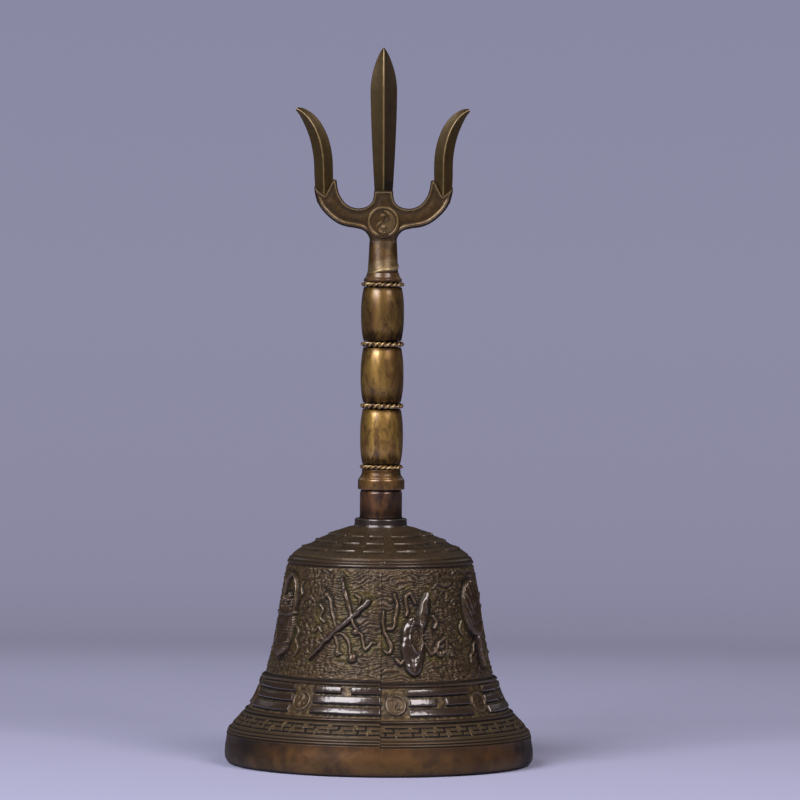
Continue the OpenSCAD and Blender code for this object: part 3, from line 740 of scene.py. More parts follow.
    # over the crown, down the bore, down the inside and across the foot
    inner = [(8.45, 73.0), (8.3, 72.4), (5.0, 72.4), (BORE, 72.4), (BORE, 71.2), (BORE, 70), (BORE, 69.0), (4.0, 69.0), (6.6, 69.0)]
    cave = curve(INSIDE[::-1], 5)
    inner = np.concatenate([np.array(inner), cave[:-1], np.array([(41.4, 0.0), (42.8, 0.0), (44.2, 0.0)])])
    ir, iz = inner[:, 0:1], inner[:, 1:2]
    si = np.concatenate([[0], np.cumsum(np.hypot(np.diff(inner[:, 0]), np.diff(inner[:, 1])))])[:, None]
    soft_in = 0.09 * fractal(th, si, 220, 9, 81, 3) * smooth(iz, 0.8, 4) * (1 - smooth(iz, 67, 69))
    ix = ir - soft_in
    inn = np.stack([ix * np.cos(th), ix * np.sin(th), iz + 0 * th], -1)
    p = np.concatenate([outer, inn])
    ob = grid("bell_shell_cast", p)
    k = len(inner)
    tail = np.ones((k, nc))
    cave_z = iz + 0 * th
    put(ob,
        relief=np.concatenate([relief_at, 0.42 * tail]),
        shine=np.concatenate([np.clip(shine, 0, 1), 0.0 * tail]),
        warm=np.concatenate([np.clip(warm, 0, 1), 0.0 * tail]),
        grime=np.concatenate([grime, 0.35 * tail]),
        olive=np.concatenate([np.clip(olive, 0, 1), 0.0 * tail]),
        tan=np.concatenate([tan, 0.0 * tail]),
        inner=np.concatenate([np.zeros((nr, nc)), (cave_z < 70) * 1.0 * tail]))
    return ob


# ------------------------------------------------------------------ turned pieces

def lathe(name, loop, cols=144, step=0.25, uneven=0.0, cell=6.0, seed=1, grime=None, tone=0.0, top=None):
    """A turned piece from a closed loop of (radius, height) in mm, with slight unevenness from the hand."""
    pts = np.array(resample(list(loop) + [loop[0]], step)[:-1])
    th = (np.arange(cols) * TAU / cols)[None, :]
    r, z = pts[:, 0:1], pts[:, 1:2]
    s = np.concatenate([[0], np.cumsum(np.hypot(np.diff(pts[:, 0]), np.diff(pts[:, 1])))])[:, None]
    outer = r > BORE + 1.2
    n = fractal(th, s, 42, cell, seed, 3)
    rr = r + outer * uneven * n
    zz = z + 0 * th
    if top is not None:
        zz = zz + top(th, r, z)
    p = np.stack([rr * np.cos(th), rr * np.sin(th), zz], -1)
    ob = grid(name, p)
    # these grime values hold painted shade as well as grime, such as the darker ends of the barrels and sleeve
    dirt_and_shade = np.zeros(p.shape[:2]) if grime is None else grime(r, z, th)
    put(ob, grime=np.clip(dirt_and_shade + 0 * th, 0, 1.5), relief=0.5 + 0 * th + 0 * r, tone=tone + 0 * th + 0 * r)
    return ob


def rounded(points, radius=0.18, steps=3):
    """A closed loop of (radius, height) with its corners eased."""
    n = len(points)
    out = []
    for i in range(n):
        a, b, c = (np.array(points[(i + k) % n], float) for k in (-1, 0, 1))
        ab, cb = a - b, c - b
        la, lc = np.linalg.norm(ab), np.linalg.norm(cb)
        r = min(radius, la * 0.4, lc * 0.4)
        if r < 0.02 or abs(b[0] - BORE) < 0.01:
            out.append(tuple(b))
            continue
        p, q = b + ab / la * r, b + cb / lc * r
        for t in np.linspace(0, 1, steps + 1):
            w = (1 - t) ** 2 * p + 2 * t * (1 - t) * b + t * t * q
            out.append((float(w[0]), float(w[1])))
    return out


CROWN, FLANGE, SLEEVE, CAP = 72.4, 75.6, 84.4, 90.6
LOWER, RING2, MIDDLE, RING3, UPPER, RING4, COLLAR, NECK = 92.2, 109.2, 111.2, 128.2, 130.2, 146.8, 148.4, 151.2


def barrel_loop(foot, top, spigot, spigot_r):
    """A barrel's loop: the belly outside, the spigot below, the bore inside."""
    mid, half = (foot + top) / 2, (top - foot) / 2
    side = []
    for z in np.linspace(foot + 0.0, top, 52):
        r = 6.62 - 0.80 * (abs(z - mid) / half) ** 2.5
        edge = min(z - foot, top - z)
        r -= 0.16 * max(0.0, 1 - edge / 0.25) ** 2
        side.append((r, z))
    return ([(BORE, foot - spigot), (spigot_r, foot - spigot), (spigot_r, foot)] + side + [(BORE, top)])


# painted shade: darker towards a turned piece's two ends and over its lower part above the foot, with mottled edges
def near_ends(lo, hi, reach=1.7, foot=4.2):
    def f(r, z, th):
        n = 0.5 + 0.5 * noise(th / TAU * 9 + 0 * z, z / 3.0 + 0 * th, 9, 4)
        edge = (1 - smooth(np.minimum(z - lo, hi - z), 0.1, reach)) * (0.75 + 0.6 * n)
        return np.maximum(edge, (1 - smooth(z - lo, 1.0, foot + 2.6 * n)) * 1.05)
    return f


def rope(name, z, wire, strands, twists, cols, deep=1.0, seed=0):
    """A rope ring cast in one: the outline of twisted strands carried round a circle."""
    rows = 40
    cols = cols
    ring_r = 6.6 - wire / 2
    R = wire / 2
    off, tube = R * 0.44, R * 0.58
    phi = (np.arange(cols) * TAU / cols)[None, :]
    psi = (np.arange(rows) * TAU / rows)[:, None]
    wander = 0.12 * noise(phi / TAU * 16, 0 * phi + 2.5, 16, 70 + seed)
    best = np.zeros((rows, cols))
    second = np.zeros((rows, cols))
    for k in range(strands):
        d = psi - (twists * phi + wander) - TAU * k / strands
        d = (d + math.pi) % TAU - math.pi
        q = tube * tube - (off * np.sin(d)) ** 2
        reach = np.where(q > 0, off * np.cos(d) + np.sqrt(np.maximum(q, 0)), 0.3 * R)
        second = np.maximum(second, np.minimum(best, reach))
        best = np.maximum(best, reach)
    best = best / (off + tube) * R * 1.04
    best = best * (0.93 + 0.10 * np.cos(2 * (twists * phi + wander)) * np.clip(np.cos(psi), 0, 1))
    best = best * (1 + 0.03 * noise(phi / TAU * 40, ((psi + math.pi) % TAU) / TAU * 5, 40, 80 + seed))
    flat = 1 - 0.1 * np.abs(np.sin(psi))
    rr = ring_r + best * np.cos(psi) * deep
    zz = z + wire / 2 + best * np.sin(psi) * flat
    p = np.stack([rr * np.cos(phi), rr * np.sin(phi), zz], -1)
    ob = grid(name, p)
    # painted shade: the gaps between the strands and the ring's inner side are darkened
    low = np.clip(1 - (best / R - 0.66) / 0.30, 0, 1)
    inside = (np.cos(psi) < -0.1) * 1.0
    put(ob, grime=np.clip(low * 0.52 + inside, 0, 1.5), relief=np.clip(0.5 + 0.5 * (0.55 - low), 0, 1), tone=0.25 + 0 * low)
    return ob


# ------------------------------------------------------------------ trident

BLADE = [(0, 2.7, 0.95), (0.16, 3.15, 1), (0.33, 3.55, 1), (0.5, 3.88, 1), (0.66, 4.07, 1), (0.74, 4.03, 0.98),
         (0.81, 3.63, 0.92), (0.875, 2.87, 0.8), (0.93, 1.97, 0.62), (0.975, 0.95, 0.36), (1, 0.12, 0.08)]
PRONG = [(18.2, 172.6, 2.2, 0.82), (18.3, 175, 2.6, 0.9), (18.4, 180, 2.85, 0.95), (18.55, 186, 2.9, 0.95), (19.15, 190, 2.85, 0.92),
         (20.05, 193.2, 2.7, 0.88), (21.3, 196, 2.45, 0.8), (22.85, 198.4, 2.05, 0.68), (24.7, 200.3, 1.35, 0.48),
         (25.9, 201.05, 0.85, 0.30), (26.6, 201.45, 0.42, 0.16)]
BLADE_T, YOKE_T, BOSS_R, BOSS_Z = 4.6, 5.2, 5.1, 166.8


def lens(w, t, ease):
    """A flattened rhombus with a soft ridge, ground faces and a blunt edge: points round it, and how high each lies."""
    share = np.array([1, 0.985, 0.95, 0.85, 0.7, 0.55, 0.42, 0.3, 0.2, 0.13, 0.075, 0.035, 0.0])
    x = np.concatenate([share, -share[-2::-1]])
    a = np.abs(x)
    e = min(0.16, 0.4 * w) / max(w, 1e-6)
    rise = 1 - (np.sqrt(a * a + e * e) - e) / (math.sqrt(1 + e * e) - e)
    rise = rise - 0.03 * np.sin(math.pi * np.clip(rise, 0, 1)) * ease
    blunt = min(0.13, 0.5 * t)
    y = blunt + (t - blunt) * rise
    y[0] = y[-1] = blunt * 0.45
    front = np.stack([x * w, -y], 1)
    back = np.stack([x[::-1] * w, y], 1)
    return np.concatenate([front, back]), np.concatenate([rise, rise])


def loft(name, stations, seed):
    """A blade skinned over stations: centre x, z, the direction across, half width, half thickness."""
    rings, high, foot = [], [], []
    for k, (x, z, ax, az, w, t) in enumerate(stations):
        pts, rise = lens(w, t, 1.0)
        rings.append(np.stack([x + pts[:, 0] * ax, pts[:, 1], z + pts[:, 0] * az], 1))
        high.append(rise)
        foot.append(np.full(len(rise), k / (len(stations) - 1)))
    p = np.array(rings)
    rs = np.random.RandomState(seed)
    nr, nc, _ = p.shape
    n1 = noise(np.arange(nc)[None, :] / 6.0, np.arange(nr)[:, None] / 5.0, 9, seed)
    p[:, :, 1] *= 1 + 0.025 * n1
    p[:, :, 0] += 0.012 * noise(np.arange(nc)[None, :] / 9.0, np.arange(nr)[:, None] / 7.0, 6, seed + 1)
    i = np.arange(nr - 1)[:, None]
    j = np.arange(nc)[None, :]
    j2 = (j + 1) % nc
    quads = np.stack([i * nc + j, (i + 1) * nc + j, (i + 1) * nc + j2, i * nc + j2], -1).reshape(-1, 4)
    # strips of quads close both ends
    half = nc // 2
    caps = []
    for base, turn in ((0, False), ((nr - 1) * nc, True)):
        for a in range(half - 1):
            q = [base + a, base + a + 1, base + nc - 2 - a, base + nc - 1 - a]
            caps.append(q[::-1] if turn else q)
    ob = new_mesh(name, p.reshape(-1, 3), np.concatenate([quads, np.array(caps)]))
    rise = np.array(high)
    along = np.array(foot)
    # painted shade: on the middle blade the faces on its right side, turned away from the left lamp, are darkened in
    # colour short of the ridge and given more of the tone
    k = np.arange(rise.shape[1])[None, :]
    half_n = rise.shape[1] // 2
    shade_side = np.where(k < half_n, k < half_n // 2 + 1, k >= half_n + half_n // 2) * (1.0 if name == "blade_mid" else 0.0) + 0 * rise
    put(ob, relief=np.clip(0.5 + 0.35 * smooth(rise, 0.9, 1.0) + 0.25 * (1 - smooth(rise, 0.0, 0.05)), 0, 1),
        grime=np.clip(0.9 * (1 - smooth(np.array(foot), 0.0, 0.10)) + 0.85 * shade_side * (1 - smooth(rise, 0.93, 1.0)), 0, 1.5),
        tone=0.25 * shade_side,
        ridge=smooth(rise, 0.955, 0.995) * (0.35 + 0.65 * smooth(along, 0.25, 0.8)))
    return ob


def interp_rows(table, at):
    a = np.array(table, float)
    return np.stack([np.interp(at, a[:, 0], a[:, k]) for k in range(1, a.shape[1])], 1)


def make_blades():
    c = curve([(s, w, t) for s, w, t in BLADE], 8)
    foot, tip = 174.2, 220.4
    st = []
    for s, w, t in c:
        z = 174.6 + s * (tip - 174.6)
        st.append((-0.32 * max(s, 0.0) ** 1.5, z, 1.0, 0.0, max(w, 0.10), max(t, 0.06) * BLADE_T / 2))
    st[0] = (0.0, foot, 1.0, 0.0, st[0][4], st[0][5])
    out = [loft("blade_mid", st, 201)]
    path = curve([(x, z, w, t) for x, z, w, t in PRONG], 8)
    for side in (1, -1):
        st = []
        for k in range(len(path)):
            d = path[min(k + 1, len(path) - 1)][:2] - path[max(k - 1, 0)][:2]
            d = d / np.linalg.norm(d)
            x, z, w, t = path[k]
            st.append((side * x - 0.4 * min(max((z - 178) / 22, 0.0), 1.0), z, d[1], -side * d[0], max(w, 0.12), max(t, 0.07) * BLADE_T / 2))
        out.append(loft("blade_side", st, 210 + side))
    return out


# the yoke's right half: up the outside of the arm, over the crowned socket, down the inside, to the blade's root
ARM_OUT = [(3.85, 160.2), (4.1, 161.6), (4.85, 163.1), (6.3, 164.35), (8.8, 165.0), (11.4, 165.4), (13.9, 166.3),
           (16.5, 168.1), (19.0, 170.7), (20.4, 173.2), (21.05, 175.6), (21.25, 177.6)]
CROWN_TOP = [(21.25, 177.6), (20.2, 176.5), (18.15, 174.75), (17.1, 176.7), (16.2, 178.6), (15.35, 179.75), (14.6, 179.5)]
ARM_IN = [(14.6, 179.5), (14.25, 177.0), (13.4, 174.6), (11.4, 172.1), (8.4, 170.9), (5.4, 171.3), (3.6, 172.7),
          (2.95, 174.6), (2.85, 176.3)]


def yoke_outline():
    def dense(points, step, soft=True):
        c = curve(points, 12) if soft else np.array(resample(points, 0.1))
        d = np.concatenate([[0], np.cumsum(np.linalg.norm(np.diff(c, axis=0), axis=1))])
        n = max(2, int(round(d[-1] / step)))
        at = np.linspace(0, d[-1], n + 1)
        return np.stack([np.interp(at, d, c[:, 0]), np.interp(at, d, c[:, 1])], 1)
    step = 0.33
    a = dense(ARM_OUT, step)
    b = dense(CROWN_TOP, step, False)
    c = dense(ARM_IN, step)
    top = dense([(2.85, 176.3), (0, 176.3)], step, False)
    right = np.concatenate([a, b[1:], c[1:], top[1:]])
    left = right[::-1][1:] * [-1, 1]
    foot = dense([(-3.85, 160.2), (3.85, 160.2)], step, False)[1:-1]
    return np.concatenate([right, left, foot])


def inside_poly(p, poly):
    x, y = p[:, 0][:, None], p[:, 1][:, None]
    x1, y1 = poly[:, 0][None, :], poly[:, 1][None, :]
    x2, y2 = np.roll(poly[:, 0], -1)[None, :], np.roll(poly[:, 1], -1)[None, :]
    cross = ((y1 > y) != (y2 > y)) & (x < (x2 - x1) * (y - y1) / np.where(y2 == y1, 1e-9, y2 - y1) + x1)
    return cross.sum(1) % 2 == 1


def edge_distance(p, poly):
    best = np.full(len(p), 1e9)
    for a, b in zip(poly, np.roll(poly, -1, 0)):
        d = b - a
        t = np.clip(((p - a) @ d) / (d @ d), 0, 1)
        best = np.minimum(best, np.linalg.norm(p - a - t[:, None] * d, axis=1))
    return best


def make_yoke():
    """The yoke: a flat casting with a raised line along its edges, a sunk field, eased corners and straight sides."""
    poly = yoke_outline()
    n = len(poly)
    nxt, prv = np.roll(poly, -1, 0), np.roll(poly, 1, 0)
    tang = nxt - prv
    tang /= np.linalg.norm(tang, axis=1)[:, None]
    area = 0.5 * np.sum(poly[:, 0] * nxt[:, 1] - nxt[:, 0] * poly[:, 1])
    inward = np.stack([-tang[:, 1], tang[:, 0]], 1) * (1 if area > 0 else -1)
    pts = [poly]
    for d in (0.16, 0.34, 0.55, 0.78, 0.98, 1.2, 1.55):
        q = poly + inward * d
        ok = inside_poly(q, poly) & (edge_distance(q, poly) > d * 0.93)
        pts.append(q[ok])
    gx, gz = np.meshgrid(np.arange(-21.5, 21.6, 0.55), np.arange(160.4, 180, 0.55))
    g = np.stack([gx.ravel() + 0.27 * (np.arange(gx.size) // gx.shape[1] % 2), gz.ravel()], 1)
    g = g[inside_poly(g, poly)]
    g = g[edge_distance(g, poly) > 1.75]
    flat = np.concatenate(pts + [g])
    edges = [(i, (i + 1) % n) for i in range(n)]
    res = delaunay_2d_cdt([Vector(p) for p in flat], edges, [], 1, 1e-5)
    v2 = np.array([[p.x, p.y] for p in res[0]])
    tris = np.array([f[:] for f in res[2]], dtype=np.int32)
    d = edge_distance(v2, poly)
    border = d < 1e-4
    seed_u, seed_v = v2[:, 0], v2[:, 1]
    rough = noise((seed_u + 30) / 1.7, seed_v / 1.7, 40, 301) + 0.5 * noise((seed_u + 30) / 0.8, seed_v / 0.8, 80, 302)
    # below, the edge falls away in a wider round than above
    low = smooth(np.array([poly[int(np.argmin(np.linalg.norm(poly - q, axis=1))), 1] for q in v2]) - np.interp(np.abs(v2[:, 0]), [0, 4, 8, 12, 17, 21], [166, 167, 168, 170, 173, 176]), 0.6, -0.6)
    inset = d - 0.62 * low
    line = smooth(inset, 0.14, 0.34) * (1 - smooth(inset, 0.46, 0.72)) * smooth(v2[:, 1], 162.6, 164.4)
    y = YOKE_T / 2 - 0.42 - 0.28 * low * (1 - smooth(d, 0.0, 0.75)) + 0.30 * smooth(d, 0.0, 0.3) + 0.24 * line - 0.22 * smooth(d, 0.5, 0.9) \
        + 0.16 * smooth(d, 1.2, 2.8) + 0.045 * rough * smooth(d, 0.8, 1.3) \
        - 0.55 * (1 - smooth(v2[:, 1], 160.6, 163.4)) * smooth(d, 0.0, 0.6)
    m = len(v2)
    front = np.stack([v2[:, 0], -y, v2[:, 1]], 1)
    back = np.stack([v2[:, 0], y, v2[:, 1]], 1)
    # the border in order, to join front and back
    start = [int(np.argmin(np.linalg.norm(v2 - p, axis=1))) for p in poly]
    a, b, c = (v2[tris[:, k]] for k in range(3))
    ccw = ((b - a)[:, 0] * (c - a)[:, 1] - (b - a)[:, 1] * (c - a)[:, 0]) > 0
    tris = np.where(ccw[:, None], tris, tris[:, ::-1])
    verts = [front, back]
    faces = [tuple(t) for t in tris] + [tuple(t[::-1] + m) for t in tris]
    order = start if area > 0 else start[::-1]
    side = v2[order]
    mid1 = np.stack([side[:, 0], np.full(n, -(YOKE_T / 2 - 0.75)), side[:, 1]], 1)
    mid2 = mid1 * [1, -1, 1]
    out = np.stack([(np.roll(side, -1, 0) - np.roll(side, 1, 0))[:, 1], -(np.roll(side, -1, 0) - np.roll(side, 1, 0))[:, 0]], 1)
    out /= np.maximum(np.linalg.norm(out, axis=1), 1e-9)[:, None]
    mid1[:, [0, 2]] += out * 0.10
    mid2[:, [0, 2]] += out * 0.10
    verts += [mid1, mid2]
    f0, b0, m1, m2 = order, [i + m for i in order], list(range(2 * m, 2 * m + n)), list(range(2 * m + n, 2 * m + 2 * n))
    for k in range(n):
        k2 = (k + 1) % n
        faces += [(f0[k], m1[k], m1[k2], f0[k2]), (m1[k], m2[k], m2[k2], m1[k2]), (m2[k], b0[k], b0[k2], m2[k2])]
    me = bpy.data.meshes.new("yoke")
    me.from_pydata((np.concatenate(verts) * MM).tolist(), [], [tuple(int(q) for q in f) for f in faces])
    me.update()
    me.polygons.foreach_set("use_smooth", np.ones(len(me.polygons), dtype=bool))
    ob = bpy.data.objects.new("yoke", me)
    bpy.context.scene.collection.objects.link(ob)
    rel = np.clip(0.36 + 0.62 * line, 0, 1)
    gr = 0.55 * smooth(inset, 0.72, 1.1) * (1 - smooth(inset, 1.3, 2.4)) + 0.30 * smooth(inset, 1.0, 1.5)
    gr = gr + 0.95 * (1 - smooth(inset, 0.02, 0.22)) - 0.22 * smooth(v2[:, 0], 3, 9) * smooth(inset, 1.0, 1.5)
    gr = np.clip(gr, 0, 1.5)
    edge = np.full(2 * n, 0.45)
    put(ob, relief=np.concatenate([rel, rel, edge]), grime=np.concatenate([gr, gr, edge * 0.5]),
        tone=np.concatenate([np.full(2 * m, 0.55), edge * 0.4]), ridge=np.concatenate([line * (0.75 - 0.5 * low), line * (0.75 - 0.5 * low), edge * 0]))
    return ob


def make_boss():
    """The boss through the yoke's middle, with a ring and the curved two-part emblem on both faces."""
    na = 112
    rads = np.concatenate([[0.0], np.arange(0.22, 4.95, 0.19), [4.96, 5.06, 5.1]])
    a = (np.arange(na) * TAU / na)[None, :]

    def face(sign):
        r = rads[1:, None]
        x, v = r * np.cos(a), r * np.sin(a)
        t = math.radians(4)
        p, q = x * math.cos(t) + v * math.sin(t), -x * math.sin(t) + v * math.cos(t)
        part, line, rad, e1, e2 = swirl(p * sign, q, 3.5)
        h = 0.34 * bump(rad, 4.42, 0.52)
        field = rad < 3.85
        h = h + field * (0.16 * part - 0.14) + field * 0.34 * bump(line, 0, 0.34)
        h = h + field * (0.30 * bump(e1, 0, 0.68) + 0.30 * bump(e2, 0, 0.68))
        h = h - 0.25 * smooth(rad, 4.85, 5.1)
        return x, v, 2.92 + h, part, line, rad
    x, v, y, part, line, rad = face(1)
    nr = len(rads) - 1
    front = np.stack([x, -y, v + BOSS_Z], -1)
    x2, v2, y2, part2, line2, _ = face(-1)
    back = np.stack([x2, y2, v2 + BOSS_Z], -1)[::-1]
    pole_f, pole_b = [0, -2.95, BOSS_Z], [0, 2.95, BOSS_Z]
    p = np.concatenate([front, back])
    verts = np.concatenate([p.reshape(-1, 3), [pole_f, pole_b]])
    k = p.shape[0]
    i, j = np.arange(k - 1)[:, None], np.arange(na)[None, :]
    j2 = (j + 1) % na
    quads = np.stack([i * na + j, i * na + j2, (i + 1) * na + j2, (i + 1) * na + j], -1).reshape(-1, 4)
    quads = quads[:, ::-1]
    faces = [tuple(int(q) for q in f) for f in quads]
    pf, pb = k * na, k * na + 1
    last = (k - 1) * na
    faces += [(pf, int(q), int((q + 1) % na)) for q in range(na)]
    faces += [(pb, int(last + (q + 1) % na), int(last + q)) for q in range(na)]
    me = bpy.data.meshes.new("boss")
    me.from_pydata((verts * MM).tolist(), [], faces)
    me.update()
    me.polygons.foreach_set("use_smooth", np.ones(len(me.polygons), dtype=bool))
    ob = bpy.data.objects.new("boss", me)
    bpy.context.scene.collection.objects.link(ob)
    ring = bump(rad, 4.42, 0.5)

    def worn(part, line):
        rel = np.clip(0.42 + 0.5 * ring + 0.45 * bump(line, 0, 0.26) * (rad < 3.85) + 0.08 * part, 0, 1)
        gr = np.clip(0.8 * (1 - np.abs(rad - 3.85) / 0.3), 0, 1) + 0.30 * part * (rad < 3.8) + 0.5 * smooth(rad, 4.9, 5.1)
        return rel, gr, 0.28 * ring + 0.24 * (1 - part) * (rad < 3.7)
    fr, bk = worn(part, line), worn(part2, line2)
    put(ob, relief=np.concatenate([fr[0].ravel(), bk[0][::-1].ravel(), [0.5, 0.5]]),
        grime=np.concatenate([fr[1].ravel(), bk[1][::-1].ravel(), [0.3, 0.3]]),
        tone=np.full(len(verts), 0.6), ridge=np.concatenate([fr[2].ravel(), bk[2][::-1].ravel(), [0, 0]]))
    return ob


def make_neck():
    """The tapered neck, closed below by its blind hole, and flatter from front to back towards the yoke."""
    loop = [(2.52, 157.6), (2.52, 151.2), (4.66, 151.2), (4.62, 152.4), (4.5, 155), (4.36, 158), (4.26, 160.2),
            (4.2, 161.0), (4.1, 162.2), (3.4, 163.2), (1.2, 163.6)]
    pts = np.array(resample(loop, 0.3))
    cols = 112
    th = (np.arange(cols) * TAU / cols)[None, :]
    r, z = pts[:, 0:1], pts[:, 1:2]
    n = fractal(th, z, 28, 5, 501, 3)
    out = r > 3.9
    seam = 152.1 + 1.15 * np.sin(th + 1.3) + 0.35 * np.sin(3 * th + 0.4)
    braze = bump(z, seam, 0.62) * out
    above = smooth(z, seam, seam + 0.6) * (1 - smooth(z, seam + 2.2, seam + 4.2)) * out
    rr = r + out * 0.035 * n + 0.30 * braze
    slim = 1 - 0.36 * np.clip((z - 151.6) / 9.4, 0, 1) * out     # flatter from front to back, to pass under the ring
    p = np.stack([rr * np.cos(th), rr * np.sin(th) * slim, z + 0 * th], -1)
    nr = len(pts)
    verts = np.concatenate([p.reshape(-1, 3), [[0, 0, 157.6], [0, 0, 163.62]]])
    i, j = np.arange(nr - 1)[:, None], np.arange(cols)[None, :]
    j2 = (j + 1) % cols
    quads = np.stack([i * cols + j, i * cols + j2, (i + 1) * cols + j2, (i + 1) * cols + j], -1).reshape(-1, 4)
    faces = [tuple(int(q) for q in f) for f in quads]
    a, b = nr * cols, nr * cols + 1
    last = (nr - 1) * cols
    faces += [(a, int((q + 1) % cols), int(q)) for q in range(cols)]
    faces += [(b, int(last + q), int(last + (q + 1) % cols)) for q in range(cols)]
    me = bpy.data.meshes.new("neck")
    me.from_pydata((verts * MM).tolist(), [], faces)
    me.update()
    me.polygons.foreach_set("use_smooth", np.ones(len(me.polygons), dtype=bool))
    ob = bpy.data.objects.new("neck", me)
    bpy.context.scene.collection.objects.link(ob)
    gr = 0.5 * smooth(z, 159.8, 161.8) + 0.7 * (1 - smooth(z, 151.2, 152.2)) + 0 * th
    gr = (gr + 0.22) * (1 - braze) * (1 - 0.6 * above)
    put(ob, relief=np.concatenate([(0.40 + 0.45 * braze).ravel(), [0.4, 0.4]]), grime=np.concatenate([gr.ravel(), [0.2, 0.2]]),
        tone=np.concatenate([(0.60 * (1 - smooth(z, 154, 161)) + 0.62 + 0.3 * above).ravel(), [0.3, 0.3]]).clip(0, 1),
        ridge=np.concatenate([(0.9 * braze + 0.35 * above).ravel(), [0, 0]]))
    return ob


FIELDS = ("relief", "grime", "tone", "ridge")


def fuse(name, parts):
    """Joins overlapping closed pieces into one solid skin, and carries each place's wear, grime, painted shade and tone
    over from the piece it came from.
    """
    at, held = [], []
    for q in parts:
        me = q.data
        co = np.empty(len(me.vertices) * 3)
        me.vertices.foreach_get("co", co)
        at.append(co.reshape(-1, 3))
        row = []
        for f in FIELDS:
            v = np.zeros(len(me.vertices), dtype=np.float32)
            if f in me.attributes:
                me.attributes[f].data.foreach_get("value", v)
            row.append(v)
        held.append(np.array(row).T)
    at, held = np.concatenate(at), np.concatenate(held)
    tree = KDTree(len(at))
    for i, c in enumerate(at):
        tree.insert(c, i)
    tree.balance()
    base = parts[0]
    for other in parts[1:]:
        m = base.modifiers.new("fuse", "BOOLEAN")
        m.operation, m.solver, m.object = "UNION", "EXACT", other
    deps = bpy.context.evaluated_depsgraph_get()
    me = bpy.data.meshes.new_from_object(base.evaluated_get(deps))
    me.name = name
    ob = bpy.data.objects.new(name, me)
    bpy.context.scene.collection.objects.link(ob)
    for p in parts:
        old = p.data
        bpy.data.objects.remove(p)
        bpy.data.meshes.remove(old)
    for f in FIELDS:
        if f in me.attributes:
            me.attributes.remove(me.attributes[f])
    found = np.array([held[tree.find(v.co)[1]] for v in me.vertices])
    put(ob, **{f: found[:, k] for k, f in enumerate(FIELDS)})
    return ob


def make_trident():
    parts = [make_yoke(), make_boss(), make_neck()] + make_blades()
    ob = fuse("trident_cast", parts)
    ob.data.polygons.foreach_set("use_smooth", np.ones(len(ob.data.polygons), dtype=bool))
    ob.data.set_sharp_from_angle(angle=math.radians(42))
    return ob


# ------------------------------------------------------------------ materials

def lin(r, g, b):
    """A colour given in 0 to 255 as the eye sees it, in the renderer's own terms."""
    return tuple((c / 255 / 12.92 if c / 255 <= 0.04045 else ((c / 255 + 0.055) / 1.055) ** 2.4) for c in (r, g, b)) + (1.0,)


class Finish:
    """A procedural material built around one Principled shader."""

    def __init__(self, name):
        self.mat = bpy.data.materials.new(name)
        self.mat.use_nodes = True
        self.nt = self.mat.node_tree
        self.nt.nodes.clear()
        out = self.nt.nodes.new("ShaderNodeOutputMaterial")
        self.p = self.nt.nodes.new("ShaderNodeBsdfPrincipled")
        self.nt.links.new(self.p.outputs[0], out.inputs["Surface"])
        self.coord = self.nt.nodes.new("ShaderNodeTexCoord")

    def feed(self, socket, value):
        if isinstance(value, bpy.types.NodeSocket):
            self.nt.links.new(value, socket)
        else:
            socket.default_value = value

    def attr(self, name):
        n = self.nt.nodes.new("ShaderNodeAttribute")
        n.attribute_type, n.attribute_name = "GEOMETRY", name
        return n.outputs["Fac"]

    def math(self, op, a, b=0.0, clamp=False):
        n = self.nt.nodes.new("ShaderNodeMath")
        n.operation, n.use_clamp = op, clamp
        self.feed(n.inputs[0], a)
        self.feed(n.inputs[1], b)
        return n.outputs[0]

    def ease(self, x, lo, hi, a=0.0, b=1.0):
        n = self.nt.nodes.new("ShaderNodeMapRange")
        n.interpolation_type = "SMOOTHSTEP"
        for k, v in zip(("Value", "From Min", "From Max", "To Min", "To Max"), (x, lo, hi, a, b)):
            self.feed(n.inputs[k], v)
        return n.outputs[0]

    def mix(self, f, a, b):
        n = self.nt.nodes.new("ShaderNodeMix")
        n.data_type, n.clamp_factor = "RGBA", True
        self.feed(n.inputs[0], f)
        self.feed(n.inputs[6], a)
        self.feed(n.inputs[7], b)
        return n.outputs[2]

    def cloud(self, size_mm, detail=3.0, rough=0.55, warp=0.0, stretch=(1, 1, 1)):
        m = self.nt.nodes.new("ShaderNodeMapping")
        m.inputs["Scale"].default_value = stretch
        self.nt.links.new(self.coord.outputs["Object"], m.inputs["Vector"])
        n = self.nt.nodes.new("ShaderNodeTexNoise")
        self.nt.links.new(m.outputs[0], n.inputs["Vector"])
        n.inputs["Scale"].default_value = 1000.0 / size_mm
        n.inputs["Detail"].default_value = detail
        n.inputs["Roughness"].default_value = rough
        n.inputs["Distortion"].default_value = warp
        return n.outputs["Fac"]

    def uneven(self, height, depth_mm, strength=1.0):
        n = self.nt.nodes.new("ShaderNodeBump")
        n.inputs["Strength"].default_value = strength
        n.inputs["Distance"].default_value = depth_mm * MM
        self.feed(n.inputs["Height"], height)
        self.nt.links.new(n.outputs[0], self.p.inputs["Normal"])

    def done(self, colour, metal, rough, coat=0.0, coat_rough=0.2, specular=0.5):
        self.feed(self.p.inputs["Base Color"], colour)
        self.feed(self.p.inputs["Metallic"], metal)
        self.feed(self.p.inputs["Roughness"], rough)
        self.p.inputs["Coat Weight"].default_value = coat
        self.p.inputs["Coat Roughness"].default_value = coat_rough
        self.p.inputs["Specular IOR Level"].default_value = specular
        return self.mat


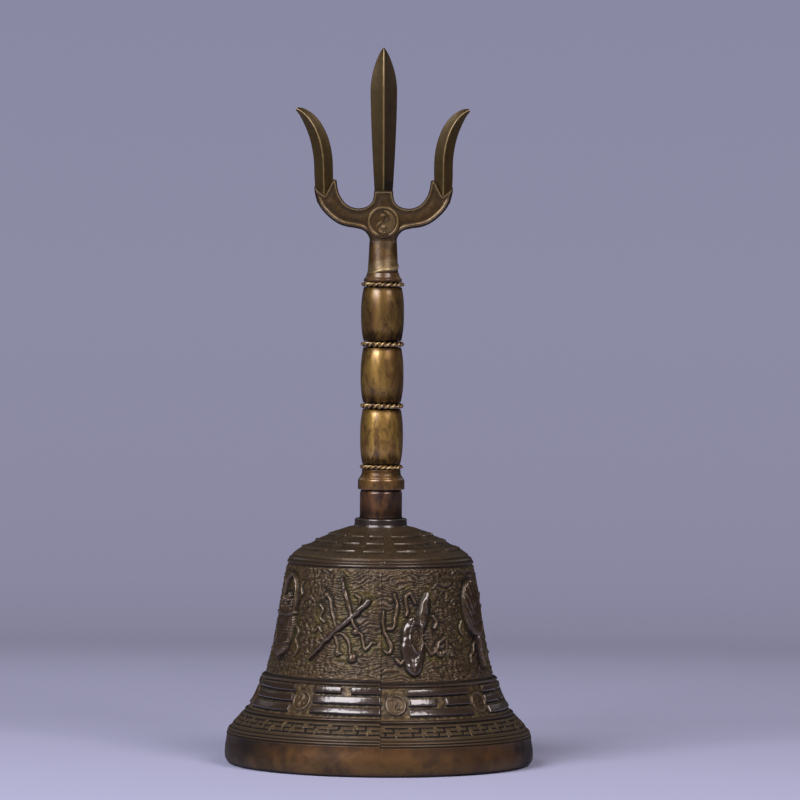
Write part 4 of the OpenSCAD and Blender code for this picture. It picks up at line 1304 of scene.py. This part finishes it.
def bell_bronze():
    f = Finish("bell_bronze")
    h, shine, warm, grime, olive, inner, tan = (f.attr(n) for n in ("relief", "shine", "warm", "grime", "olive", "inner", "tan"))
    big, mid, fine = f.cloud(15, 3, 0.6, 0.4), f.cloud(3.6, 4, 0.6, 0.6), f.cloud(0.75, 3, 0.6)
    level = f.math("ADD", h, f.math("MULTIPLY", f.math("SUBTRACT", mid, 0.5), 0.35))
    c = f.mix(f.ease(level, 0.22, 0.66), lin(42, 32, 19), lin(80, 63, 42))
    c = f.mix(f.ease(level, 0.66, 1.05), c, lin(110, 90, 64))
    c = f.mix(f.math("MULTIPLY", f.ease(big, 0.42, 0.72), 0.35), c, lin(88, 64, 34))
    c = f.mix(f.math("MULTIPLY", tan, f.ease(mid, 0.3, 0.7, 0.45, 0.85), True), c, lin(112, 92, 60))
    c = f.mix(f.math("MULTIPLY", shine, 0.85), c, lin(50, 33, 24))
    c = f.mix(f.math("MULTIPLY", warm, 0.95), c, f.mix(f.ease(f.math("ADD", f.math("MULTIPLY", big, 0.7), f.math("MULTIPLY", mid, 0.3)), 0.36, 0.62), lin(56, 38, 24), lin(105, 72, 36)))
    c = f.mix(f.math("MULTIPLY", olive, f.ease(mid, 0.38, 0.62, 0.35, 1.0), True), c, lin(98, 84, 30))
    # painted shade and grime: near black where the grime attribute is high, which holds painted shade under and round
    # the raised work, in grooves and on the rim's foot and sides, as well as random tarnish
    c = f.mix(f.math("MULTIPLY", grime, f.ease(mid, 0.2, 0.7, 0.5, 0.85), True), c, lin(20, 14, 8))
    c = f.mix(inner, c, f.mix(f.ease(mid, 0.3, 0.7), lin(48, 35, 22), lin(82, 60, 34)))
    bright = f.ease(shine, 0.55, 0.9)
    rough = f.math("ADD", f.math("MULTIPLY", fine, 0.16), f.math("MULTIPLY", grime, 0.20))
    rough = f.math("ADD", rough, f.math("SUBTRACT", 0.42, f.math("MULTIPLY", shine, 0.20)), True)
    f.uneven(f.math("ADD", f.math("MULTIPLY", fine, 0.5), mid), 0.05, 0.6)
    mat = f.done(c, f.ease(bright, 0.0, 1.0, 0.55, 0.30), rough, 0.2, 0.13)
    f.p.inputs["Coat IOR"].default_value = 1.9
    glint = f.math("MULTIPLY", f.ease(level, 0.62, 1.0), f.math("SUBTRACT", 1.0, warm, True))
    f.feed(f.p.inputs["Coat Weight"], f.math("MAXIMUM", f.ease(bright, 0.0, 1.0, 0.05, 0.60), f.math("MULTIPLY", glint, 0.34)))
    return mat


def gilt(name, light, mid_c, dark, metal=0.8, rough0=0.30, streak=(1, 1, 0.45)):
    f = Finish(name)
    h, grime, tone = (f.attr(n) for n in ("relief", "grime", "tone"))
    big, mid, fine = f.cloud(8, 4, 0.65, 1.2, streak), f.cloud(2.4, 4, 0.65, 1.2, streak), f.cloud(0.5, 3, 0.6)
    c = f.mix(f.ease(big, 0.38, 0.64), mid_c, light)
    c = f.mix(f.math("MULTIPLY", f.ease(mid, 0.47, 0.68), 0.62), c, dark)
    c = f.mix(f.math("MULTIPLY", tone, f.ease(big, 0.25, 0.75, 0.6, 1.0), True), c, dark)
    c = f.mix(f.math("MULTIPLY", f.ease(h, 0.55, 1.0), 0.6), c, light)
    # painted shade and grime: darker towards the turned pieces' ends and foot, in the rope's gaps and on its inner side
    c = f.mix(f.math("MULTIPLY", grime, f.ease(mid, 0.2, 0.75, 0.6, 0.95), True), c, lin(30, 18, 9))
    rough = f.math("ADD", f.math("MULTIPLY", fine, 0.14), f.math("MULTIPLY", grime, 0.18))
    rough = f.math("ADD", rough, rough0, True)
    f.uneven(f.math("ADD", fine, mid), 0.04, 0.6)
    f.p.inputs["Coat IOR"].default_value = 1.9
    mat = f.done(c, metal, rough, 0.9, 0.23)
    f.feed(f.p.inputs["Coat Weight"], f.math("SUBTRACT", 0.85, f.math("MULTIPLY", grime, 0.95), True))
    return mat


def trident_bronze():
    f = Finish("trident_bronze_worn")
    h, grime, tone, ridge = (f.attr(n) for n in FIELDS)
    big, mid, fine = f.cloud(9, 3, 0.6, 0.6), f.cloud(2.4, 4, 0.65, 0.8), f.cloud(0.55, 3, 0.6)
    level = f.math("ADD", h, f.math("MULTIPLY", f.math("SUBTRACT", mid, 0.5), 0.4))
    c = f.mix(f.ease(level, 0.35, 0.85), lin(66, 52, 28), lin(93, 74, 38))
    c = f.mix(f.math("MULTIPLY", tone, f.ease(big, 0.3, 0.7, 0.5, 1.0), True), c, f.mix(f.ease(mid, 0.42, 0.60), lin(76, 51, 27), lin(114, 82, 36)))
    c = f.mix(f.math("MULTIPLY", ridge, f.ease(mid, 0.25, 0.6, 0.45, 1.0), True), c, lin(168, 146, 104))
    c = f.mix(f.math("MULTIPLY", f.ease(mid, 0.54, 0.74), 0.55), c, lin(44, 32, 18))
    # painted shade and grime: darker at the pieces' edges and joints, and as painted shade on the middle blade's right
    # faces
    c = f.mix(f.math("MULTIPLY", grime, f.ease(mid, 0.2, 0.7, 0.5, 0.95), True), c, lin(26, 17, 9))
    rough = f.math("ADD", f.math("MULTIPLY", fine, 0.16), f.math("MULTIPLY", grime, 0.14))
    rough = f.math("ADD", rough, 0.34, True)
    f.uneven(f.math("ADD", fine, mid), 0.05, 0.6)
    return f.done(c, 0.62, rough, 0.18, 0.22)


def plain_metal(name, light, dark, metal=0.9, rough0=0.34):
    f = Finish(name)
    mid, fine = f.cloud(3.0, 4, 0.6, 0.5), f.cloud(0.6, 3, 0.6)
    c = f.mix(f.ease(mid, 0.35, 0.68), light, dark)
    f.uneven(f.math("ADD", fine, mid), 0.03, 0.5)
    return f.done(c, metal, f.math("ADD", f.math("MULTIPLY", fine, 0.22), rough0, True), 0.0)


# ------------------------------------------------------------------ build

BELL = bell_bronze()
FLANGE_M = gilt("crown_bronze", lin(60, 42, 33), lin(46, 32, 25), lin(28, 19, 13), 0.5, 0.32)
SLEEVE_M = gilt("sleeve_copper", lin(116, 75, 36), lin(68, 44, 27), lin(38, 25, 18), 0.66, 0.30)
CAP_M = gilt("ferrule_copper", lin(150, 108, 48), lin(108, 74, 34), lin(52, 34, 17), 0.72, 0.28)
BARREL_M = gilt("barrel_gilt", lin(204, 160, 75), lin(138, 98, 42), lin(54, 34, 17), 0.86, 0.30)
ROPE_M = gilt("rope_gilt", lin(206, 170, 92), lin(126, 92, 46), lin(58, 39, 20), 0.78, 0.26)
COLLAR_M = gilt("collar_gilt", lin(142, 104, 54), lin(104, 72, 37), lin(58, 38, 20), 0.72, 0.42)
TRIDENT_M = trident_bronze()
STEEL_M = plain_metal("hidden_steel", lin(150, 148, 144), lin(104, 90, 76))
INNER_M = plain_metal("inner_brass_dull", lin(158, 124, 66), lin(104, 76, 40))


def finish_piece(ob, body, node, mat):
    ob.data.materials.clear()
    ob.data.materials.append(mat)
    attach(ob, body)
    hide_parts(node)


def flat_top(points):
    return [(BORE, points[0][1])] + points + [(BORE, points[-1][1])]


shell = make_bell()
finish_piece(shell, "bell", "bell_shell", BELL)

flange = lathe("crown_flange_turned", rounded(flat_top([(8.4, 72.4), (8.4, 73.1), (8.1, 73.5), (8.0, 75.3), (7.7, 75.6)]), 0.22),
               160, 0.22, 0.03, 5, 11, lambda r, z, th: 0.9 * (1 - smooth(z, 72.4, 73.4)) + 0.3 * smooth(z, 75.2, 75.6))
finish_piece(flange, "bell", "crown_flange", FLANGE_M)

sleeve = lathe("handle_sleeve_turned",
               rounded(flat_top([(6.65, 75.6), (6.5, 76.5), (6.5, 83.5), (6.25, 83.9), (6.25, 84.4)]), 0.2),
               144, 0.25, 0.035, 5, 12, near_ends(75.6, 84.4, 1.2))
finish_piece(sleeve, "bell", "handle_sleeve", SLEEVE_M)

cap = lathe("ferrule_cap_turned",
            rounded(flat_top([(7.0, 84.4), (7.2, 84.65), (7.2, 87.4), (6.9, 87.75), (6.1, 89.0), (5.95, 89.7), (5.95, 90.6)]), 0.2),
            160, 0.2, 0.025, 4, 13, lambda r, z, th: 0.70 * smooth(z, 87.8, 88.4) + 0.5 * (1 - smooth(z, 84.4, 84.9)))
finish_piece(cap, "bell", "ferrule_cap", CAP_M)

for node, foot, top, spigot, spigot_r, seed in (("grip_barrel_lower", LOWER, RING2, 1.6, 4.95, 21),
                                                ("grip_barrel_middle", MIDDLE, RING3, 2.0, 4.55, 22),
                                                ("grip_barrel_upper", UPPER, RING4, 2.0, 4.55, 23)):
    barrel = lathe(node + "_turned", barrel_loop(foot, top, spigot, spigot_r), 160, 0.3, 0.045, 8, seed, near_ends(foot, top),
                   {21: 0.0, 22: 0.18, 23: 0.5}[seed])
    finish_piece(barrel, "bell", node, BARREL_M)

for node, z, wire, twists, seed in (("rope_ring_bottom", CAP, 1.6, 11, 1), ("rope_ring_lower", RING2, 2.0, 10, 2),
                                    ("rope_ring_upper", RING3, 2.0, 10, 3), ("rope_ring_top", RING4, 1.6, 10, 4)):
    ring = rope(node + "_cast", z, wire, 2, twists, 480, 1.0, seed)
    finish_piece(ring, "bell", node, ROPE_M)

collar = lathe("neck_collar_turned",
               rounded([(BORE, 146.8), (4.95, 146.8), (4.95, 148.4), (5.85, 148.4), (5.85, 149.3), (5.4, 149.7),
                        (5.2, 150.1), (4.85, 151.2), (BORE, 151.2)], 0.14),
               144, 0.18, 0.03, 4, 14, lambda r, z, th: 0.7 * (1 - smooth(z, 148.3, 148.9)) + 0.45)
finish_piece(collar, "bell", "neck_collar", COLLAR_M)

trident = make_trident()
finish_piece(trident, "bell", "trident_head", TRIDENT_M)

for node, mat in (("tie_rod", STEEL_M), ("crown_washer", STEEL_M), ("clapper_stirrup", STEEL_M), ("bob_nut", STEEL_M),
                  ("hanger_nut", INNER_M), ("clapper_rod", INNER_M), ("clapper_bob", INNER_M)):
    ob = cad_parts[node]
    for k in range(len(ob.material_slots)):
        ob.material_slots[k].material = mat

# ------------------------------------------------------------------ floor, light, air

floor_mesh = bpy.data.meshes.new("floor")
rings, spokes = 24, 96
fv = [(0.0, 0.0, 0.0)]
for i in range(1, rings + 1):
    for j in range(spokes):
        a = j * TAU / spokes
        fv.append((0.62 * i / rings * math.cos(a), 0.62 * i / rings * math.sin(a), 0.0))
ff = [(0, 1 + j, 1 + (j + 1) % spokes) for j in range(spokes)]
for i in range(rings - 1):
    for j in range(spokes):
        a, b = 1 + i * spokes + j, 1 + i * spokes + (j + 1) % spokes
        ff.append((a, a + spokes, b + spokes, b))
floor_mesh.from_pydata(fv, [], ff)
floor = bpy.data.objects.new("floor", floor_mesh)
bpy.context.scene.collection.objects.link(floor)
floor.location = (0, 0, -0.00005)
fm = bpy.data.materials.new("floor_paper")
fm.use_nodes = True
nt = fm.node_tree
nt.nodes.clear()
out = nt.nodes.new("ShaderNodeOutputMaterial")
paper = nt.nodes.new("ShaderNodeBsdfPrincipled")
paper.inputs["Roughness"].default_value = 0.75
clear = nt.nodes.new("ShaderNodeBsdfTransparent")
coord = nt.nodes.new("ShaderNodeTexCoord")
apart = nt.nodes.new("ShaderNodeSeparateXYZ")
nt.links.new(coord.outputs["Object"], apart.inputs[0])
reach = nt.nodes.new("ShaderNodeMapRange")
reach.inputs["From Min"].default_value = -0.10
reach.inputs["From Max"].default_value = 0.50
nt.links.new(apart.outputs["Y"], reach.inputs["Value"])
sweep = nt.nodes.new("ShaderNodeValToRGB")
nt.links.new(reach.outputs[0], sweep.inputs[0])
shade = [(0.0, 0.953), (0.10, 0.954), (0.19, 0.935), (0.29, 0.935), (0.41, 0.855), (0.54, 0.888), (0.675, 0.925), (0.828, 0.91), (1.0, 0.80)]
el = sweep.color_ramp.elements
tint = [v * k for v, k in zip(lin(196, 191, 219)[:3], (0.930, 0.984, 1.005))]
el[0].position, el[0].color = 0.0, (*[v * 0.953 for v in tint], 1)
el[1].position, el[1].color = 1.0, (*[v * 0.78 for v in tint], 1)
for pos, k in shade[1:-1]:
    e = el.new(pos)
    e.color = (*[v * k for v in tint], 1)
nt.links.new(sweep.outputs[0], paper.inputs["Base Color"])
length = nt.nodes.new("ShaderNodeVectorMath")
length.operation = "LENGTH"
nt.links.new(coord.outputs["Object"], length.inputs[0])
fade = nt.nodes.new("ShaderNodeMapRange")
fade.interpolation_type = "SMOOTHSTEP"
fade.inputs["From Min"].default_value = 0.36
fade.inputs["From Max"].default_value = 0.58
nt.links.new(length.outputs["Value"], fade.inputs["Value"])
blend_ = nt.nodes.new("ShaderNodeMixShader")
nt.links.new(fade.outputs[0], blend_.inputs[0])
nt.links.new(paper.outputs[0], blend_.inputs[1])
nt.links.new(clear.outputs[0], blend_.inputs[2])
nt.links.new(blend_.outputs[0], out.inputs["Surface"])
floor_mesh.materials.append(fm)


def softbox(name, azimuth, elevation, wide_deg, tall_deg, power, colour, dist=1.3):
    """A soft area light seen from the bell at an azimuth from straight ahead, to the right positive."""
    data = bpy.data.lights.new(name, "AREA")
    data.shape = "RECTANGLE"
    data.size = 2 * dist * math.tan(math.radians(wide_deg / 2))
    data.size_y = 2 * dist * math.tan(math.radians(tall_deg / 2))
    data.energy = power
    data.color = colour
    ob = bpy.data.objects.new(name, data)
    bpy.context.scene.collection.objects.link(ob)
    a, e = math.radians(azimuth), math.radians(elevation)
    aim = Vector((0, 0, 0.08))
    ob.location = aim + dist * Vector((math.sin(a) * math.cos(e), -math.cos(a) * math.cos(e), math.sin(e)))
    ob.rotation_euler = (aim - ob.location).to_track_quat("-Z", "Y").to_euler()
    return ob


softbox("key_left", -38, 37, 30, 38, 17, (0.95, 0.94, 1.0))
softbox("key_right", 38, 39, 22, 30, 9, (1.0, 0.94, 0.96))
softbox("fill_back_left", -140, 35, 30, 40, 0.5, (0.95, 0.96, 1.0))
softbox("fill_back_right", 140, 35, 30, 40, 0.5, (0.97, 0.96, 1.0))

world = bpy.data.worlds.new("studio")
bpy.context.scene.world = world
world.use_nodes = True
nt = world.node_tree
nt.nodes.clear()
out = nt.nodes.new("ShaderNodeOutputWorld")
coord = nt.nodes.new("ShaderNodeTexCoord")
split = nt.nodes.new("ShaderNodeSeparateXYZ")
nt.links.new(coord.outputs["Generated"], split.inputs[0])
ramp = nt.nodes.new("ShaderNodeValToRGB")
span = nt.nodes.new("ShaderNodeMapRange")
span.inputs["From Min"].default_value = -0.12
span.inputs["From Max"].default_value = 0.06
nt.links.new(split.outputs["Z"], span.inputs["Value"])
nt.links.new(span.outputs[0], ramp.inputs[0])
stops = [(0.0, (133, 131, 153)), (0.243, (132, 130, 152)), (0.284, (136, 134, 158)), (0.31, (138, 136, 161)),
         (0.389, (140, 138, 163)), (0.60, (141, 140, 165)), (0.81, (139, 138, 164)), (1.0, (137, 136, 162))]
el = ramp.color_ramp.elements
el[0].position, el[0].color = stops[0][0], lin(*stops[0][1])
el[1].position, el[1].color = stops[-1][0], lin(*stops[-1][1])
for pos, col in stops[1:-1]:
    e = el.new(pos)
    e.color = lin(*col)
seen = nt.nodes.new("ShaderNodeBackground")
nt.links.new(ramp.outputs[0], seen.inputs["Color"])
lit = nt.nodes.new("ShaderNodeBackground")
lit.inputs["Color"].default_value = (0.90, 0.90, 1.0, 1)
lit.inputs["Strength"].default_value = 0.05
path = nt.nodes.new("ShaderNodeLightPath")
pick = nt.nodes.new("ShaderNodeMixShader")
nt.links.new(path.outputs["Is Camera Ray"], pick.inputs[0])
nt.links.new(lit.outputs[0], pick.inputs[1])
nt.links.new(seen.outputs[0], pick.inputs[2])
nt.links.new(pick.outputs[0], out.inputs["Surface"])

view = bpy.context.scene.view_settings
view.view_transform = "Standard"
view.look = "None"
view.exposure = 0.0
view.gamma = 1.0
